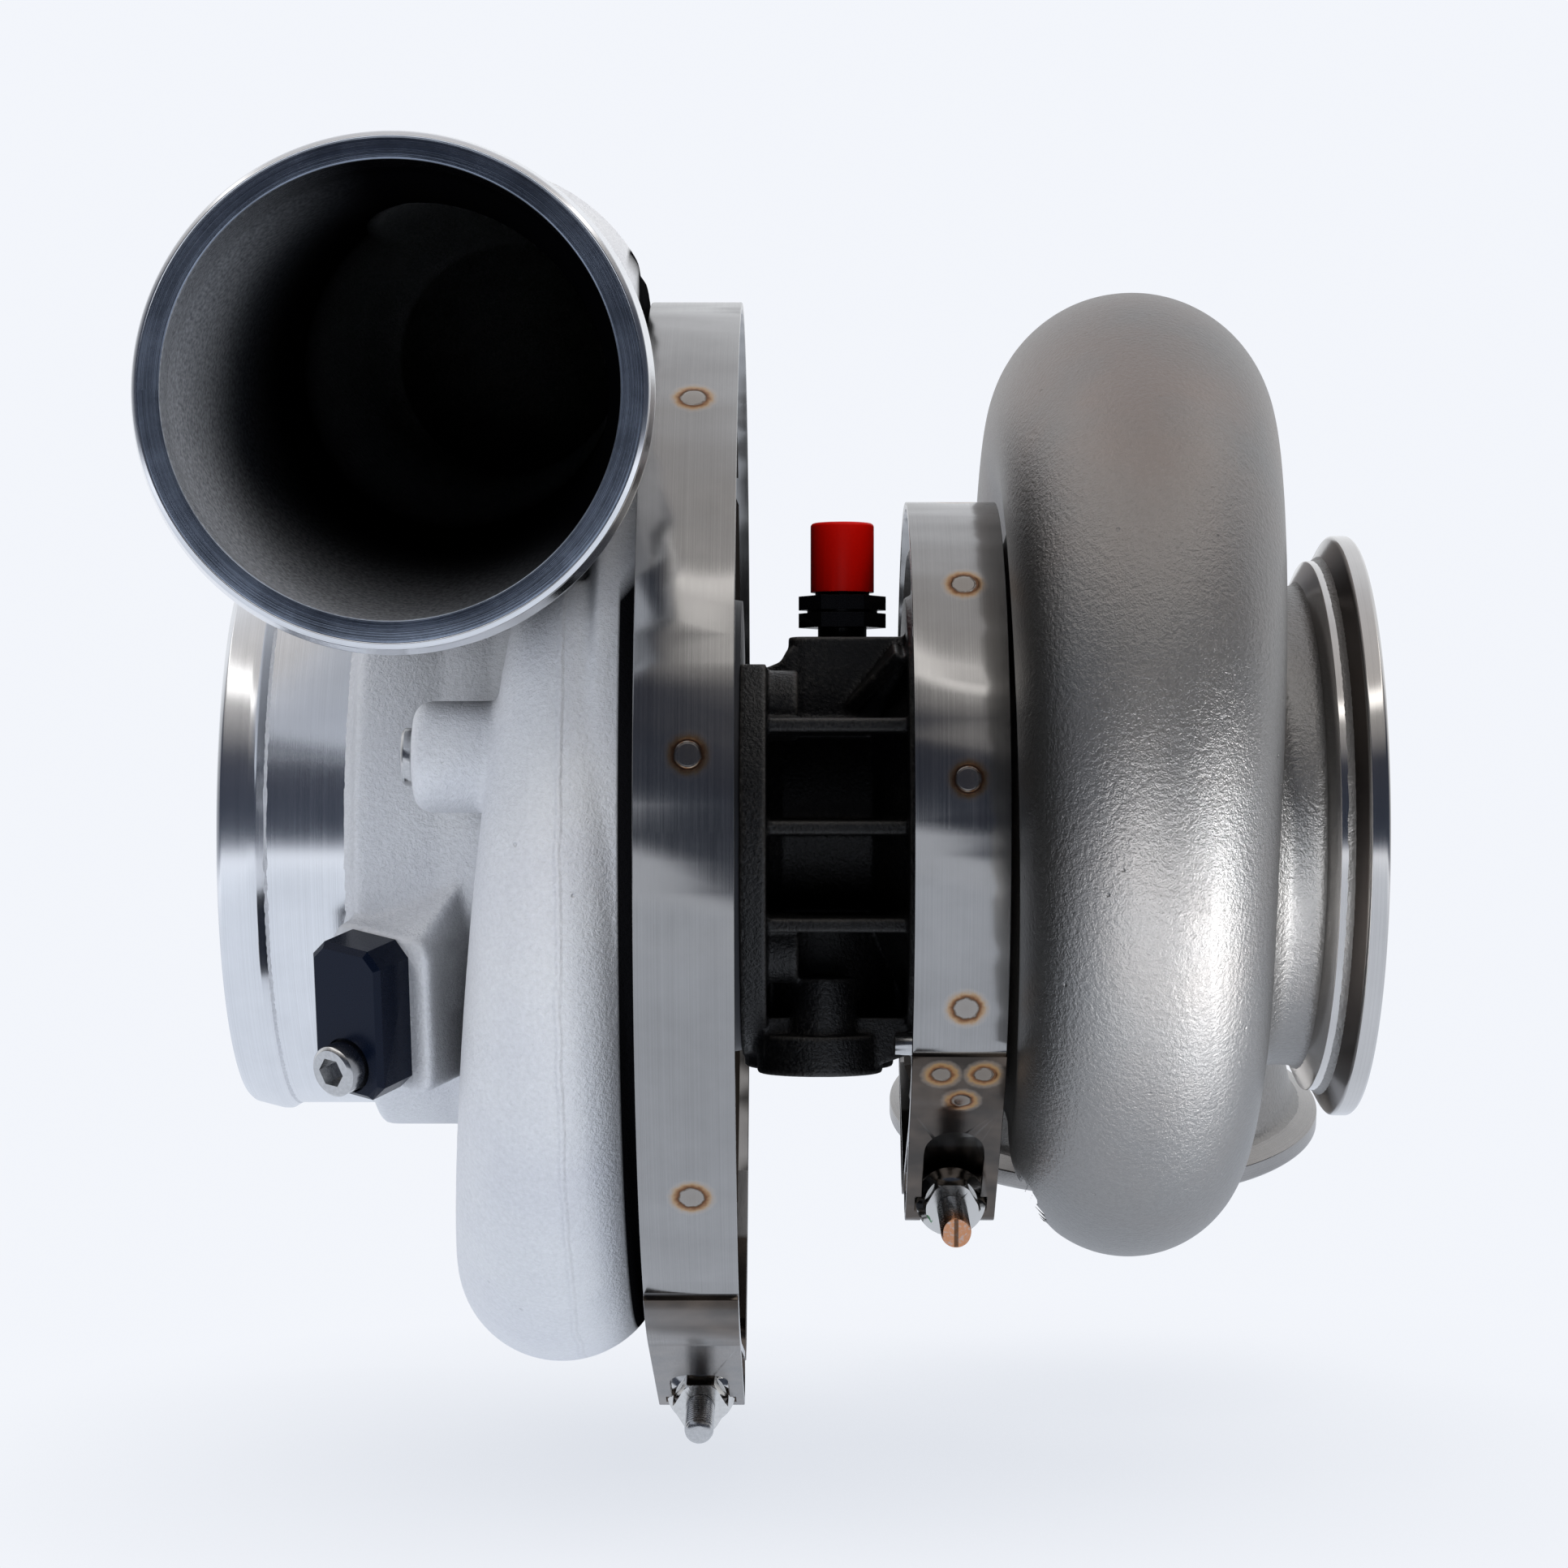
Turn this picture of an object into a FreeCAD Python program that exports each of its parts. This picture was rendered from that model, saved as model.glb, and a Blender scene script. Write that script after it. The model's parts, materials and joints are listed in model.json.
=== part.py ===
import FreeCAD, Part
import math
import os

# Turbocharger, built as an assembly in one frame, in millimetres.
# X runs along the rotor shaft from the compressor to the turbine, Z is up and -Y faces the person
# who looks into the compressor discharge. Shapes are drawn with x = 0 under the oil inlet, and the
# finished parts are moved so that the origin is on the shaft axis, midway along the exhaust outlet bore.
# Clock angles are measured about X from the top, through -Y, then the bottom, then +Y.

V = FreeCAD.Vector
X_AXIS = V(1, 0, 0)
ORIGIN = V(0, 0, 0)

# ---- driving dimensions ----
SHAFT_R = 4.0
RUNNING_GAP = 0.04

INLET_MOUTH_X = -119.7
INLET_SPIGOT_R = 56.5
INLET_BEAD_R = 57.6
INLET_NECK_R = 61.0
INLET_BORE_R = 50.5

WHEEL_INDUCER_R = 35.0
WHEEL_TIP_R = 47.0
WHEEL_CLEARANCE = 0.4
WHEEL_BACK_X = -38.6
WHEEL_NOSE_X = -78.0
COMPRESSOR_BLADES = 11

SCROLL_FACE_X = -39.9
SCROLL_BASE_R = 70.7
SCROLL_GROWTH = 1.83
SCROLL_START_DEG = 17.0
SCROLL_FLAT_R = 130.0
SCROLL_WALL = 4.2

COMPRESSOR_JOINT_X = -29.3
COMPRESSOR_RIM_R = 101.0
COMPRESSOR_NECK_R = 96.0
PILOT_R = 93.0

DISCHARGE_X = -78.9
DISCHARGE_Z = 76.0
DISCHARGE_MOUTH_Y = -125.0
DISCHARGE_SPIGOT_R = 43.6
DISCHARGE_BORE_R = 39.5

TURBINE_JOINT_X = 21.9
TURBINE_RIM_R = 62.5
TURBINE_NECK_R = 54.5
TURBINE_INDUCER_R = 41.0
TURBINE_EXDUCER_R = 37.5
TURBINE_BLADES = 11
EXHAUST_FACE_X = 103.2
EXHAUST_RIM_R = 59.2
EXHAUST_BORE_R = 44.0
EXHAUST_BORE_LENGTH = 13.2
FRAME_ORIGIN_X = EXHAUST_FACE_X - EXHAUST_BORE_LENGTH / 2

TURBINE_INLET_CENTRE = (62.0, 105.0, -69.0)
TURBINE_INLET_TILT_DEG = 16.7
TURBINE_INLET_RIM_R = 49.6
TURBINE_INLET_NECK_R = 44.0
TURBINE_INLET_BORE_R = 38.0

OIL_BOSS_TOP_Z = 38.3
OIL_GALLERY_R = 1.5
DRAIN_X = -4.7
DRAIN_FACE_Z = -49.4
DRAIN_BORE_R = 9.5
DRAIN_BORE_TOP_Z = -26.0
DRAIN_THROAT_R = 7.0
DRAIN_BOLT_SPACING = 44.0
DRAIN_THREAD_R = 3.4

BEARING_BORE_R = 12.0
BEARING_HALF_LENGTH = 17.0
BALL_ROW_X = 12.5
BALL_PITCH_R = 7.6
BALL_R = 2.2
BALL_COUNT = 9

CLAMP_THICKNESS = 1.4
SLOT_RUN = 23.0
BOLT_R = 3.0
NUT_FLANGE_R = 7.1
NUT_HEX_R = 5.77


# ---- helpers ----
def polygon_face(points):
    return Part.Face(Part.makePolygon(points + [points[0]]))


def turned(points, angle=360.0):
    """Solid of revolution about the shaft axis from (x, radius) points."""
    return polygon_face([V(x, 0, r) for x, r in points]).revolve(ORIGIN, X_AXIS, angle)


def cylinder(radius, start, end):
    return Part.makeCylinder(radius, (end - start).Length, start, end - start)


def box(x0, x1, y0, y1, z0, z1):
    return Part.makeBox(x1 - x0, y1 - y0, z1 - z0, V(x0, y0, z0))


def turn_about_shaft(shape, degrees):
    moved = shape.copy()
    moved.rotate(ORIGIN, X_AXIS, degrees)
    return moved


def frame_placement(origin, e1, e2, e3):
    """Placement that carries local x, y, z onto the unit vectors e1, e2, e3 at origin."""
    return FreeCAD.Placement(FreeCAD.Matrix(
        e1.x, e2.x, e3.x, origin.x,
        e1.y, e2.y, e3.y, origin.y,
        e1.z, e2.z, e3.z, origin.z,
        0, 0, 0, 1))


def duct_circle(centre, flow, radius):
    """Circular duct section whose plane holds the shaft direction."""
    normal = V(0, flow[0], flow[1])
    normal.normalize()
    wire = Part.Wire(Part.makeCircle(radius))
    wire.Placement = frame_placement(V(*centre), X_AXIS, normal.cross(X_AXIS), normal)
    return wire


def clock_circle(clock_deg, x, centre_r, radius):
    """Scroll section at one clock angle."""
    a = math.radians(clock_deg)
    centre = (x, -centre_r * math.sin(a), centre_r * math.cos(a))
    return duct_circle(centre, (-math.cos(a), -math.sin(a)), radius)


def loft(wires):
    return Part.makeLoft(wires, True, False)


def clean(shape):
    return shape.removeSplitter()


def single_solid(shape):
    """The biggest solid of a boolean result."""
    return max(shape.Solids, key=lambda s: s.Volume)


def interpolate(table, value):
    """Straight-line interpolation in a list of rows that start with the argument."""
    for low, high in zip(table, table[1:]):
        if value <= high[0]:
            f = (value - low[0]) / (high[0] - low[0])
            return [a + f * (b - a) for a, b in zip(low[1:], high[1:])]
    return list(table[-1][1:])


# ---- bladed wheels ----
def blade(hub_line, tip_line, hub_turn, tip_turn, root_thickness, tip_thickness):
    """One blade lofted through flat stations between a hub line and a tip line of (x, r) points."""
    def point(station, turn_deg, sink):
        x, r = station
        a = math.radians(turn_deg)
        return V(x, -(r - sink) * math.sin(a), (r - sink) * math.cos(a))

    roots = [point(s, t, 0.9) for s, t in zip(hub_line, hub_turn)]
    tips = [point(s, t, 0.0) for s, t in zip(tip_line, tip_turn)]
    middles = [(a + b) * 0.5 for a, b in zip(roots, tips)]
    wires = []
    last = len(roots) - 1
    for i, (root, tip) in enumerate(zip(roots, tips)):
        along = middles[min(i + 1, last)] - middles[max(i - 1, 0)]
        side = (tip - root).cross(along)
        side.normalize()
        a = side * (root_thickness / 2)
        b = side * (tip_thickness / 2)
        wires.append(Part.makePolygon([root - a, root + a, tip + b, tip - b, root - a]))
    return loft(wires)


def bladed_wheel(hub, single_blade, count):
    blades = [turn_about_shaft(single_blade, 360.0 * i / count) for i in range(count)]
    return clean(hub.fuse(blades))


def compressor_wheel():
    hub = turned([
        (WHEEL_NOSE_X, SHAFT_R), (WHEEL_NOSE_X, 8.6), (-74, 9.6), (-66, 11.6), (-60, 13.8), (-54, 17.5),
        (-49, 22.5), (-45.5, 28.5), (-43, 35), (-41.6, 41), (-41, WHEEL_TIP_R), (-40, WHEEL_TIP_R),
        (-39, 42), (WHEEL_BACK_X, 30), (WHEEL_BACK_X, SHAFT_R)])
    hub_line = [(-73.5, 9.7), (-66, 11.6), (-58, 14.9), (-51, 20.4), (-46, 27.5), (-43, 35), (-41.6, 41),
                (-41, 47)]
    tip_line = [(-73.5, 35), (-68, 35), (-62, 35.2), (-56.5, 36.4), (-52, 38.4), (-48.8, 41.2), (-46.6, 44.2),
                (-45.3, 47)]
    hub_turn = [34, 22, 12, 4, -2, -8, -14, -20]
    tip_turn = [46, 33, 21, 11, 3, -5, -12.5, -20]
    one = blade(hub_line, tip_line, hub_turn, tip_turn, 1.5, 0.8)
    return bladed_wheel(hub, one, COMPRESSOR_BLADES)


def turbine_wheel():
    """Turbine wheel with the shaft that is welded to it."""
    rotor = turned([
        (-86, 0), (-86, SHAFT_R - 0.4), (-85.6, SHAFT_R), (17.5, SHAFT_R), (17.5, 7.85), (18.4, 7.85),
        (18.4, 6.3),
        (20.1, 6.3), (20.1, 7.85), (21.6, 7.85), (22.6, 11), (27.2, 11), (27.2, 32), (28.6, 34),
        (31, 27.5), (35, 21.5), (41, 16.5), (48, 13), (56, 10.6), (63, 9.4), (67, 8.6), (69.5, 6.5),
        (69.5, 0)])
    hub_line = [(28.2, 33.6), (31, 27.5), (35, 21.5), (41, 16.5), (48, 13), (56, 10.6), (62, 9.6)]
    tip_line = [(29.5, 41), (36, 41), (41, 40.6), (46, 39.1), (51, 38), (56.5, 37.5), (62, 37.5)]
    hub_turn = [0, 0, -1, -4, -10, -19, -30]
    tip_turn = [0, 0, -2, -7, -16, -30, -46]
    one = blade(hub_line, tip_line, hub_turn, tip_turn, 2.2, 1.2)
    wheel = bladed_wheel(rotor, one, TURBINE_BLADES)
    hex_socket = cylinder(3.2, V(65.5, 0, 0), V(70, 0, 0))
    return wheel.cut(hex_socket)


def compressor_nut():
    washer = cylinder(7.4, V(-79.2, 0, 0), V(WHEEL_NOSE_X, 0, 0))
    body = hexagon(6.0, V(-84.6, 0, 0), X_AXIS, 5.6).fuse(washer)
    return clean(body.cut(cylinder(SHAFT_R, V(-90, 0, 0), V(-70, 0, 0))))


def hexagon(corner_r, start, direction, length):
    """Hexagonal prism from a start point along a direction."""
    e3 = V(direction)
    e3.normalize()
    e1 = V(0, 0, 1).cross(e3) if abs(e3.z) < 0.9 else V(1, 0, 0)
    e1.normalize()
    e2 = e3.cross(e1)
    corners = [start + e1 * (corner_r * math.cos(math.radians(60 * i)))
               + e2 * (corner_r * math.sin(math.radians(60 * i))) for i in range(6)]
    return polygon_face(corners).extrude(e3 * length)


# ---- compressor housing ----
def scroll_radius(clock_deg):
    return math.sqrt(SCROLL_GROWTH * (clock_deg - SCROLL_START_DEG))


def compressor_scroll(outer):
    """Scroll from the tongue round to the top: casting outside or air passage inside."""
    wires = []
    for step in range(16):
        clock = 60.0 + 20.0 * step
        r_in = scroll_radius(clock)
        if outer:
            wires.append(clock_circle(clock, SCROLL_FACE_X - r_in, SCROLL_BASE_R + r_in, r_in + SCROLL_WALL))
        else:
            passage = r_in - 1.5
            wires.append(clock_circle(clock, SCROLL_FACE_X - 3.5 - passage, SCROLL_BASE_R + r_in, passage))
    return loft(wires)


def discharge_duct(outer):
    r_in = scroll_radius(360.0)
    if outer:
        rows = [(SCROLL_FACE_X - r_in, 0, SCROLL_BASE_R + r_in, r_in + SCROLL_WALL),
                (-69.6, -30, 94.6, 33.0), (-74.6, -60, 87.2, 36.4), (-78.3, -84, 79.6, 39.0),
                (DISCHARGE_X, -97, DISCHARGE_Z + 0.6, 42.4), (DISCHARGE_X, -103, DISCHARGE_Z, 43.2)]
    else:
        passage = r_in - 1.5
        rows = [(SCROLL_FACE_X - 3.5 - passage, 0, SCROLL_BASE_R + r_in, passage),
                (-70.9, -30, 94.6, 27.8), (-75.0, -60, 87.2, 31.6), (-78.3, -84, 79.6, 34.8),
                (DISCHARGE_X, -103, DISCHARGE_Z, 37.8), (DISCHARGE_X, -112, DISCHARGE_Z, DISCHARGE_BORE_R)]
    wires = []
    for i, (x, y, z, radius) in enumerate(rows):
        before = rows[max(i - 1, 0)]
        after = rows[min(i + 1, len(rows) - 1)]
        flow = (-1.0, 0.0) if i in (0, len(rows) - 1) else (after[1] - before[1], after[2] - before[2])
        wires.append(duct_circle((x, y, z), flow, radius))
    return loft(wires)


def discharge_spigot():
    """Turned hose end of the discharge, drawn as (distance behind the mouth, radius)."""
    profile = [(0, 0), (0, 43.6), (0.8, 44.4), (1.6, 44.4), (5.0, 45.2), (6.0, 45.2),
               (7.6, DISCHARGE_SPIGOT_R),
               (23, DISCHARGE_SPIGOT_R), (26, 42.0), (26, 0)]
    spigot = turned(profile)
    spigot.Placement = frame_placement(V(DISCHARGE_X, DISCHARGE_MOUTH_Y, DISCHARGE_Z),
                                       V(0, 1, 0), V(0, 0, 1), V(1, 0, 0))
    return spigot


SENSOR_CENTRE = V(-88.6, -60.4, -33.8)
SENSOR_NORMAL = V(-0.56, -0.79, -0.25)
SENSOR_UPWARD = V(0, -0.30, 0.953)
SENSOR_BLOCK_HEIGHT = 9.0
SENSOR_SCREW_Y = -8.6
SENSOR_STEM_Y = 5.0


def sensor_frame(depth):
    """Local frame on the sensor pad: x across, y up along the block, z outwards."""
    e3 = V(SENSOR_NORMAL)
    e3.normalize()
    e2 = SENSOR_UPWARD - e3 * e3.dot(SENSOR_UPWARD)
    e2.normalize()
    e1 = e2.cross(e3)
    return frame_placement(SENSOR_CENTRE + e3 * depth, e1, e2, e3)


def sensor_pedestal():
    """Pad with rounded corners whose top edge climbs to the scroll as a web."""
    pad = Part.makeBox(23, 31, 30, V(-10.5, -15.6, -30))
    pad = pad.makeFillet(3.5, [e for e in pad.Edges if abs(e.BoundBox.ZLength - 30) < 0.01])

    def section(points, z):
        return Part.makePolygon([V(x, y, z) for x, y in points + points[:1]])

    near = [(-9, 0), (12.0, 0), (12.0, 11.0), (9.8, 14.8), (-6, 14.8)]
    middle = [(-9, 0), (13.3, 0), (13.3, 11.5), (9.8, 23.5), (-9, 17)]
    deep = [(-9, 0), (13.3, 0), (13.3, 11.5), (9.8, 27), (-9, 18)]
    web = Part.makeLoft([section(near, -0.6), section(middle, -15), section(deep, -26)], True, True)
    shape = pad.fuse(web)
    shape.Placement = sensor_frame(0)
    return shape


def sensor_cylinder(radius, y, z0, z1):
    return Part.makeCylinder(radius, z1 - z0, V(0, y, z0))


def speed_sensor_block():
    long_half, wide_half, corner, height = 14.8, 8.2, 3.0, SENSOR_BLOCK_HEIGHT
    points = [V(-wide_half + corner, -long_half, 0), V(wide_half - corner, -long_half, 0),
              V(wide_half, -long_half + corner, 0), V(wide_half, long_half - corner, 0),
              V(wide_half - corner, long_half, 0), V(-wide_half + corner, long_half, 0),
              V(-wide_half, long_half - corner, 0), V(-wide_half, -long_half + corner, 0)]
    block = polygon_face(points).extrude(V(0, 0, height))
    top = [e for e in block.Edges if e.BoundBox.ZMin > height - 0.01]
    block = block.makeChamfer(1.0, top)
    groove = sensor_cylinder(4.1, SENSOR_STEM_Y, -6, -4.4).cut(sensor_cylinder(3.1, SENSOR_STEM_Y, -6, -4.4))
    block = block.fuse(sensor_cylinder(4.0, SENSOR_STEM_Y, -12, 0.5).cut(groove))
    block = block.cut(sensor_cylinder(3.2, SENSOR_SCREW_Y, -1, height + 1))
    block = block.cut(sensor_cylinder(5.3, SENSOR_SCREW_Y, height - 1.4, height + 1))
    block.Placement = sensor_frame(0)
    return clean(block)


def speed_sensor_oring():
    hole = sensor_cylinder(3.15, SENSOR_STEM_Y, -5.95, -4.45)
    ring = sensor_cylinder(4.1, SENSOR_STEM_Y, -5.95, -4.45).cut(hole)
    ring.Placement = sensor_frame(0)
    return ring


def speed_sensor_screw():
    seat = SENSOR_BLOCK_HEIGHT - 1.4
    head = sensor_cylinder(4.9, SENSOR_SCREW_Y, seat, seat + 6.0)
    rim = [e for e in head.Edges if e.BoundBox.ZMin > seat + 5.9]
    head = head.makeChamfer(0.6, rim)
    socket = hexagon(2.9, V(0, SENSOR_SCREW_Y, seat + 2.8), V(0, 0, 1), 4)
    screw = head.fuse(sensor_cylinder(3.0, SENSOR_SCREW_Y, -9.0, seat + 0.5)).cut(socket)
    screw.Placement = sensor_frame(0)
    return clean(screw)


BOOST_PORT = V(-80.0, -75.0, 13.5)
BOOST_PLUG_R = 5.4
BOOST_THREAD_R = 4.7


def compressor_housing():
    body = turned([
        (INLET_MOUTH_X, 40), (INLET_MOUTH_X, 55.4), (-119.0, 56.2), (-113.5, INLET_BEAD_R),
        (-112, INLET_BEAD_R),
        (-110.4, INLET_SPIGOT_R), (-94.2, INLET_SPIGOT_R), (-92.8, INLET_NECK_R), (-77, INLET_NECK_R),
        (-67, 64),
        (-57, 71), (-50, 84), (-46, COMPRESSOR_NECK_R), (-35, COMPRESSOR_NECK_R), (-33.3, COMPRESSOR_RIM_R),
        (COMPRESSOR_JOINT_X - RUNNING_GAP, COMPRESSOR_RIM_R), (COMPRESSOR_JOINT_X - RUNNING_GAP, 40)])
    scrolls = compressor_scroll(True).fuse([discharge_duct(True), discharge_spigot()])
    flange_side = turned([(SCROLL_FACE_X, 0), (SCROLL_FACE_X, SCROLL_FLAT_R), (0, SCROLL_FLAT_R), (0, 0)])
    scrolls = scrolls.cut(flange_side)
    boss = cylinder(10.4, BOOST_PORT, BOOST_PORT + V(22.5, 0, 0))
    boss = boss.makeFillet(3.4, [e for e in boss.Edges if e.BoundBox.XMax < BOOST_PORT.x + 0.01])
    body = body.fuse([scrolls, boss, sensor_pedestal()])

    clear = WHEEL_CLEARANCE
    bore = turned([
        (-121, 0), (-121, 54), (-118.6, 52.0), (-116, INLET_BORE_R), (-102, INLET_BORE_R), (-97, 48.8),
        (-91, 44.0),
        (-85, 38.6), (-80, 36.0), (-76, WHEEL_INDUCER_R + clear), (-66, WHEEL_INDUCER_R + clear),
        (-62.1, 35.65), (-56.7, 36.85), (-52.3, 38.8), (-49.2, 41.5), (-47.05, 44.45), (-45.75, 47.2),
        (-45.5, 53),
        (-45.2, 71.5), (-50, 72), (-50, 80), (SCROLL_FACE_X - 0.16, 80), (SCROLL_FACE_X - 0.16, PILOT_R),
        (-29, PILOT_R), (-29, 0)])
    mouth = cylinder(DISCHARGE_BORE_R, V(DISCHARGE_X, -111.5, DISCHARGE_Z), V(DISCHARGE_X, -127, DISCHARGE_Z))
    port = cylinder(1.6, BOOST_PORT - V(1, 0, 0), BOOST_PORT + V(32, 0, 0))
    port_thread = cylinder(BOOST_THREAD_R, BOOST_PORT - V(1, 0, 0), BOOST_PORT + V(10, 0, 0))
    hole = sensor_cylinder(4.15, SENSOR_STEM_Y, -12.4, 0.1)
    tap = sensor_cylinder(3.0, SENSOR_SCREW_Y, -9.3, 0.1)
    for cutter in (hole, tap):
        cutter.Placement = sensor_frame(0)
    body = body.cut(bore)
    body = body.cut(compressor_scroll(False).fuse(discharge_duct(False)))
    body = body.cut(mouth)
    for cutter in (port, port_thread, hole, tap):
        body = body.cut(cutter)
    return clean(single_solid(body))


def boost_port_plug():
    head = cylinder(BOOST_PLUG_R, BOOST_PORT - V(2.0, 0, 0), BOOST_PORT)
    head = head.makeChamfer(0.5, [e for e in head.Edges if e.BoundBox.XMax < BOOST_PORT.x - 1.9])
    plug = head.fuse(cylinder(BOOST_THREAD_R, BOOST_PORT, BOOST_PORT + V(9.5, 0, 0)))
    return clean(plug.cut(hexagon(2.9, BOOST_PORT - V(2.1, 0, 0), X_AXIS, 4.5)))


# ---- backplate and its parts ----
BACKPLATE_BOLT_R = 34.0
BACKPLATE_BOLT_CLOCKS = (45, 135, 225, 315)


def clock_point(x, radius, clock_deg):
    a = math.radians(clock_deg)
    return V(x, -radius * math.sin(a), radius * math.cos(a))


def backplate():
    pilot = PILOT_R - RUNNING_GAP
    groove = pilot - 2.4
    plate = turned([
        (-37.6, 12.5), (-37.6, 48.5), (SCROLL_FACE_X, 48.5), (SCROLL_FACE_X, pilot), (-36.4, pilot),
        (-36.4, groove),
        (-33.6, groove), (-33.6, pilot), (COMPRESSOR_JOINT_X, pilot), (COMPRESSOR_JOINT_X, COMPRESSOR_RIM_R),
        (-25.3, COMPRESSOR_RIM_R), (-23.6, COMPRESSOR_NECK_R), (-23.6, 88), (-31, 84), (-31, 48), (-20.4, 46),
        (-20.4, 18), (-33, 18), (-33, 12.5)])
    for clock in BACKPLATE_BOLT_CLOCKS:
        plate = plate.cut(cylinder(3.2, clock_point(-39, BACKPLATE_BOLT_R, clock),
                                   clock_point(-19, BACKPLATE_BOLT_R, clock)))
        plate = plate.cut(cylinder(5.3, clock_point(-39, BACKPLATE_BOLT_R, clock),
                                   clock_point(-31.8, BACKPLATE_BOLT_R, clock)))
    return clean(plate)


def backplate_bolts():
    bolts = []
    for clock in BACKPLATE_BOLT_CLOCKS:
        top, seat, tip = [clock_point(x, BACKPLATE_BOLT_R, clock) for x in (-37.8, -31.8, -12)]
        head = cylinder(5.0, top, seat)
        shank = cylinder(3.0, seat, tip)
        socket = hexagon(2.8, top - V(0.2, 0, 0), X_AXIS, 3.6)
        bolts.append(clean(head.fuse(shank).cut(socket)))
    return Part.makeCompound(bolts)


def compressor_housing_oring():
    groove_floor = PILOT_R - RUNNING_GAP - 2.4
    return Part.makeTorus(groove_floor + 1.21, 1.2, V(-35, 0, 0), X_AXIS)


def compressor_spacer():
    return turned([
        (WHEEL_BACK_X, SHAFT_R), (WHEEL_BACK_X, 9.0), (-37.9, 12.3), (-36.7, 12.3), (-36.7, 9.8),
        (-35.0, 9.8),
        (-35.0, 12.3), (-32.2, 12.3), (-30.6, 15.0), (-29.2, 15.0), (-29.2, 7.0), (-BEARING_HALF_LENGTH, 6.0),
        (-BEARING_HALF_LENGTH, SHAFT_R)])


def sealing_ring(x0, x1, inner, outer):
    """Split piston ring, sprung against its bore."""
    ring = turned([(x0, inner), (x1, inner), (x1, outer), (x0, outer)])
    return ring.cut(box(x0 - 1, x1 + 1, -0.15, 0.15, 0, outer + 1))


# ---- bearing ----
def ball_race_cut(x):
    return Part.makeTorus(BALL_PITCH_R, BALL_R + 0.03, V(x, 0, 0), X_AXIS)


def bearing_sleeve():
    half = BEARING_HALF_LENGTH
    sleeve = turned([(-half, 9.0), (half, 9.0), (half, BEARING_BORE_R), (-half, BEARING_BORE_R)])
    for x in (-BALL_ROW_X, BALL_ROW_X):
        sleeve = sleeve.cut(ball_race_cut(x))
    sleeve = sleeve.cut(cylinder(OIL_GALLERY_R, V(0, 0, 8), V(0, 0, 14)))
    drain_slots = box(-8.5, -0.5, -4, 4, -14, -7)
    pin_hole = cylinder(1.5, V(8, 8, 0), V(8, 14, 0))
    return clean(sleeve.cut(drain_slots).cut(pin_hole))


def inner_race(side):
    race = turned([(0, SHAFT_R), (BEARING_HALF_LENGTH, SHAFT_R), (BEARING_HALF_LENGTH, 6.2), (0, 6.2)])
    race = race.cut(ball_race_cut(BALL_ROW_X))
    if side < 0:
        race = race.mirror(ORIGIN, X_AXIS)
    return race


def ball_centre(x, index):
    return clock_point(x, BALL_PITCH_R, 360.0 * index / BALL_COUNT)


def ball_row(x):
    return Part.makeCompound([Part.makeSphere(BALL_R, ball_centre(x, i)) for i in range(BALL_COUNT)])


def ball_cage(x):
    cage = turned([(x - 3.0, 7.1), (x + 3.0, 7.1), (x + 3.0, 8.2), (x - 3.0, 8.2)])
    for i in range(BALL_COUNT):
        cage = cage.cut(Part.makeSphere(BALL_R + 0.01, ball_centre(x, i)))
    return cage


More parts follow.
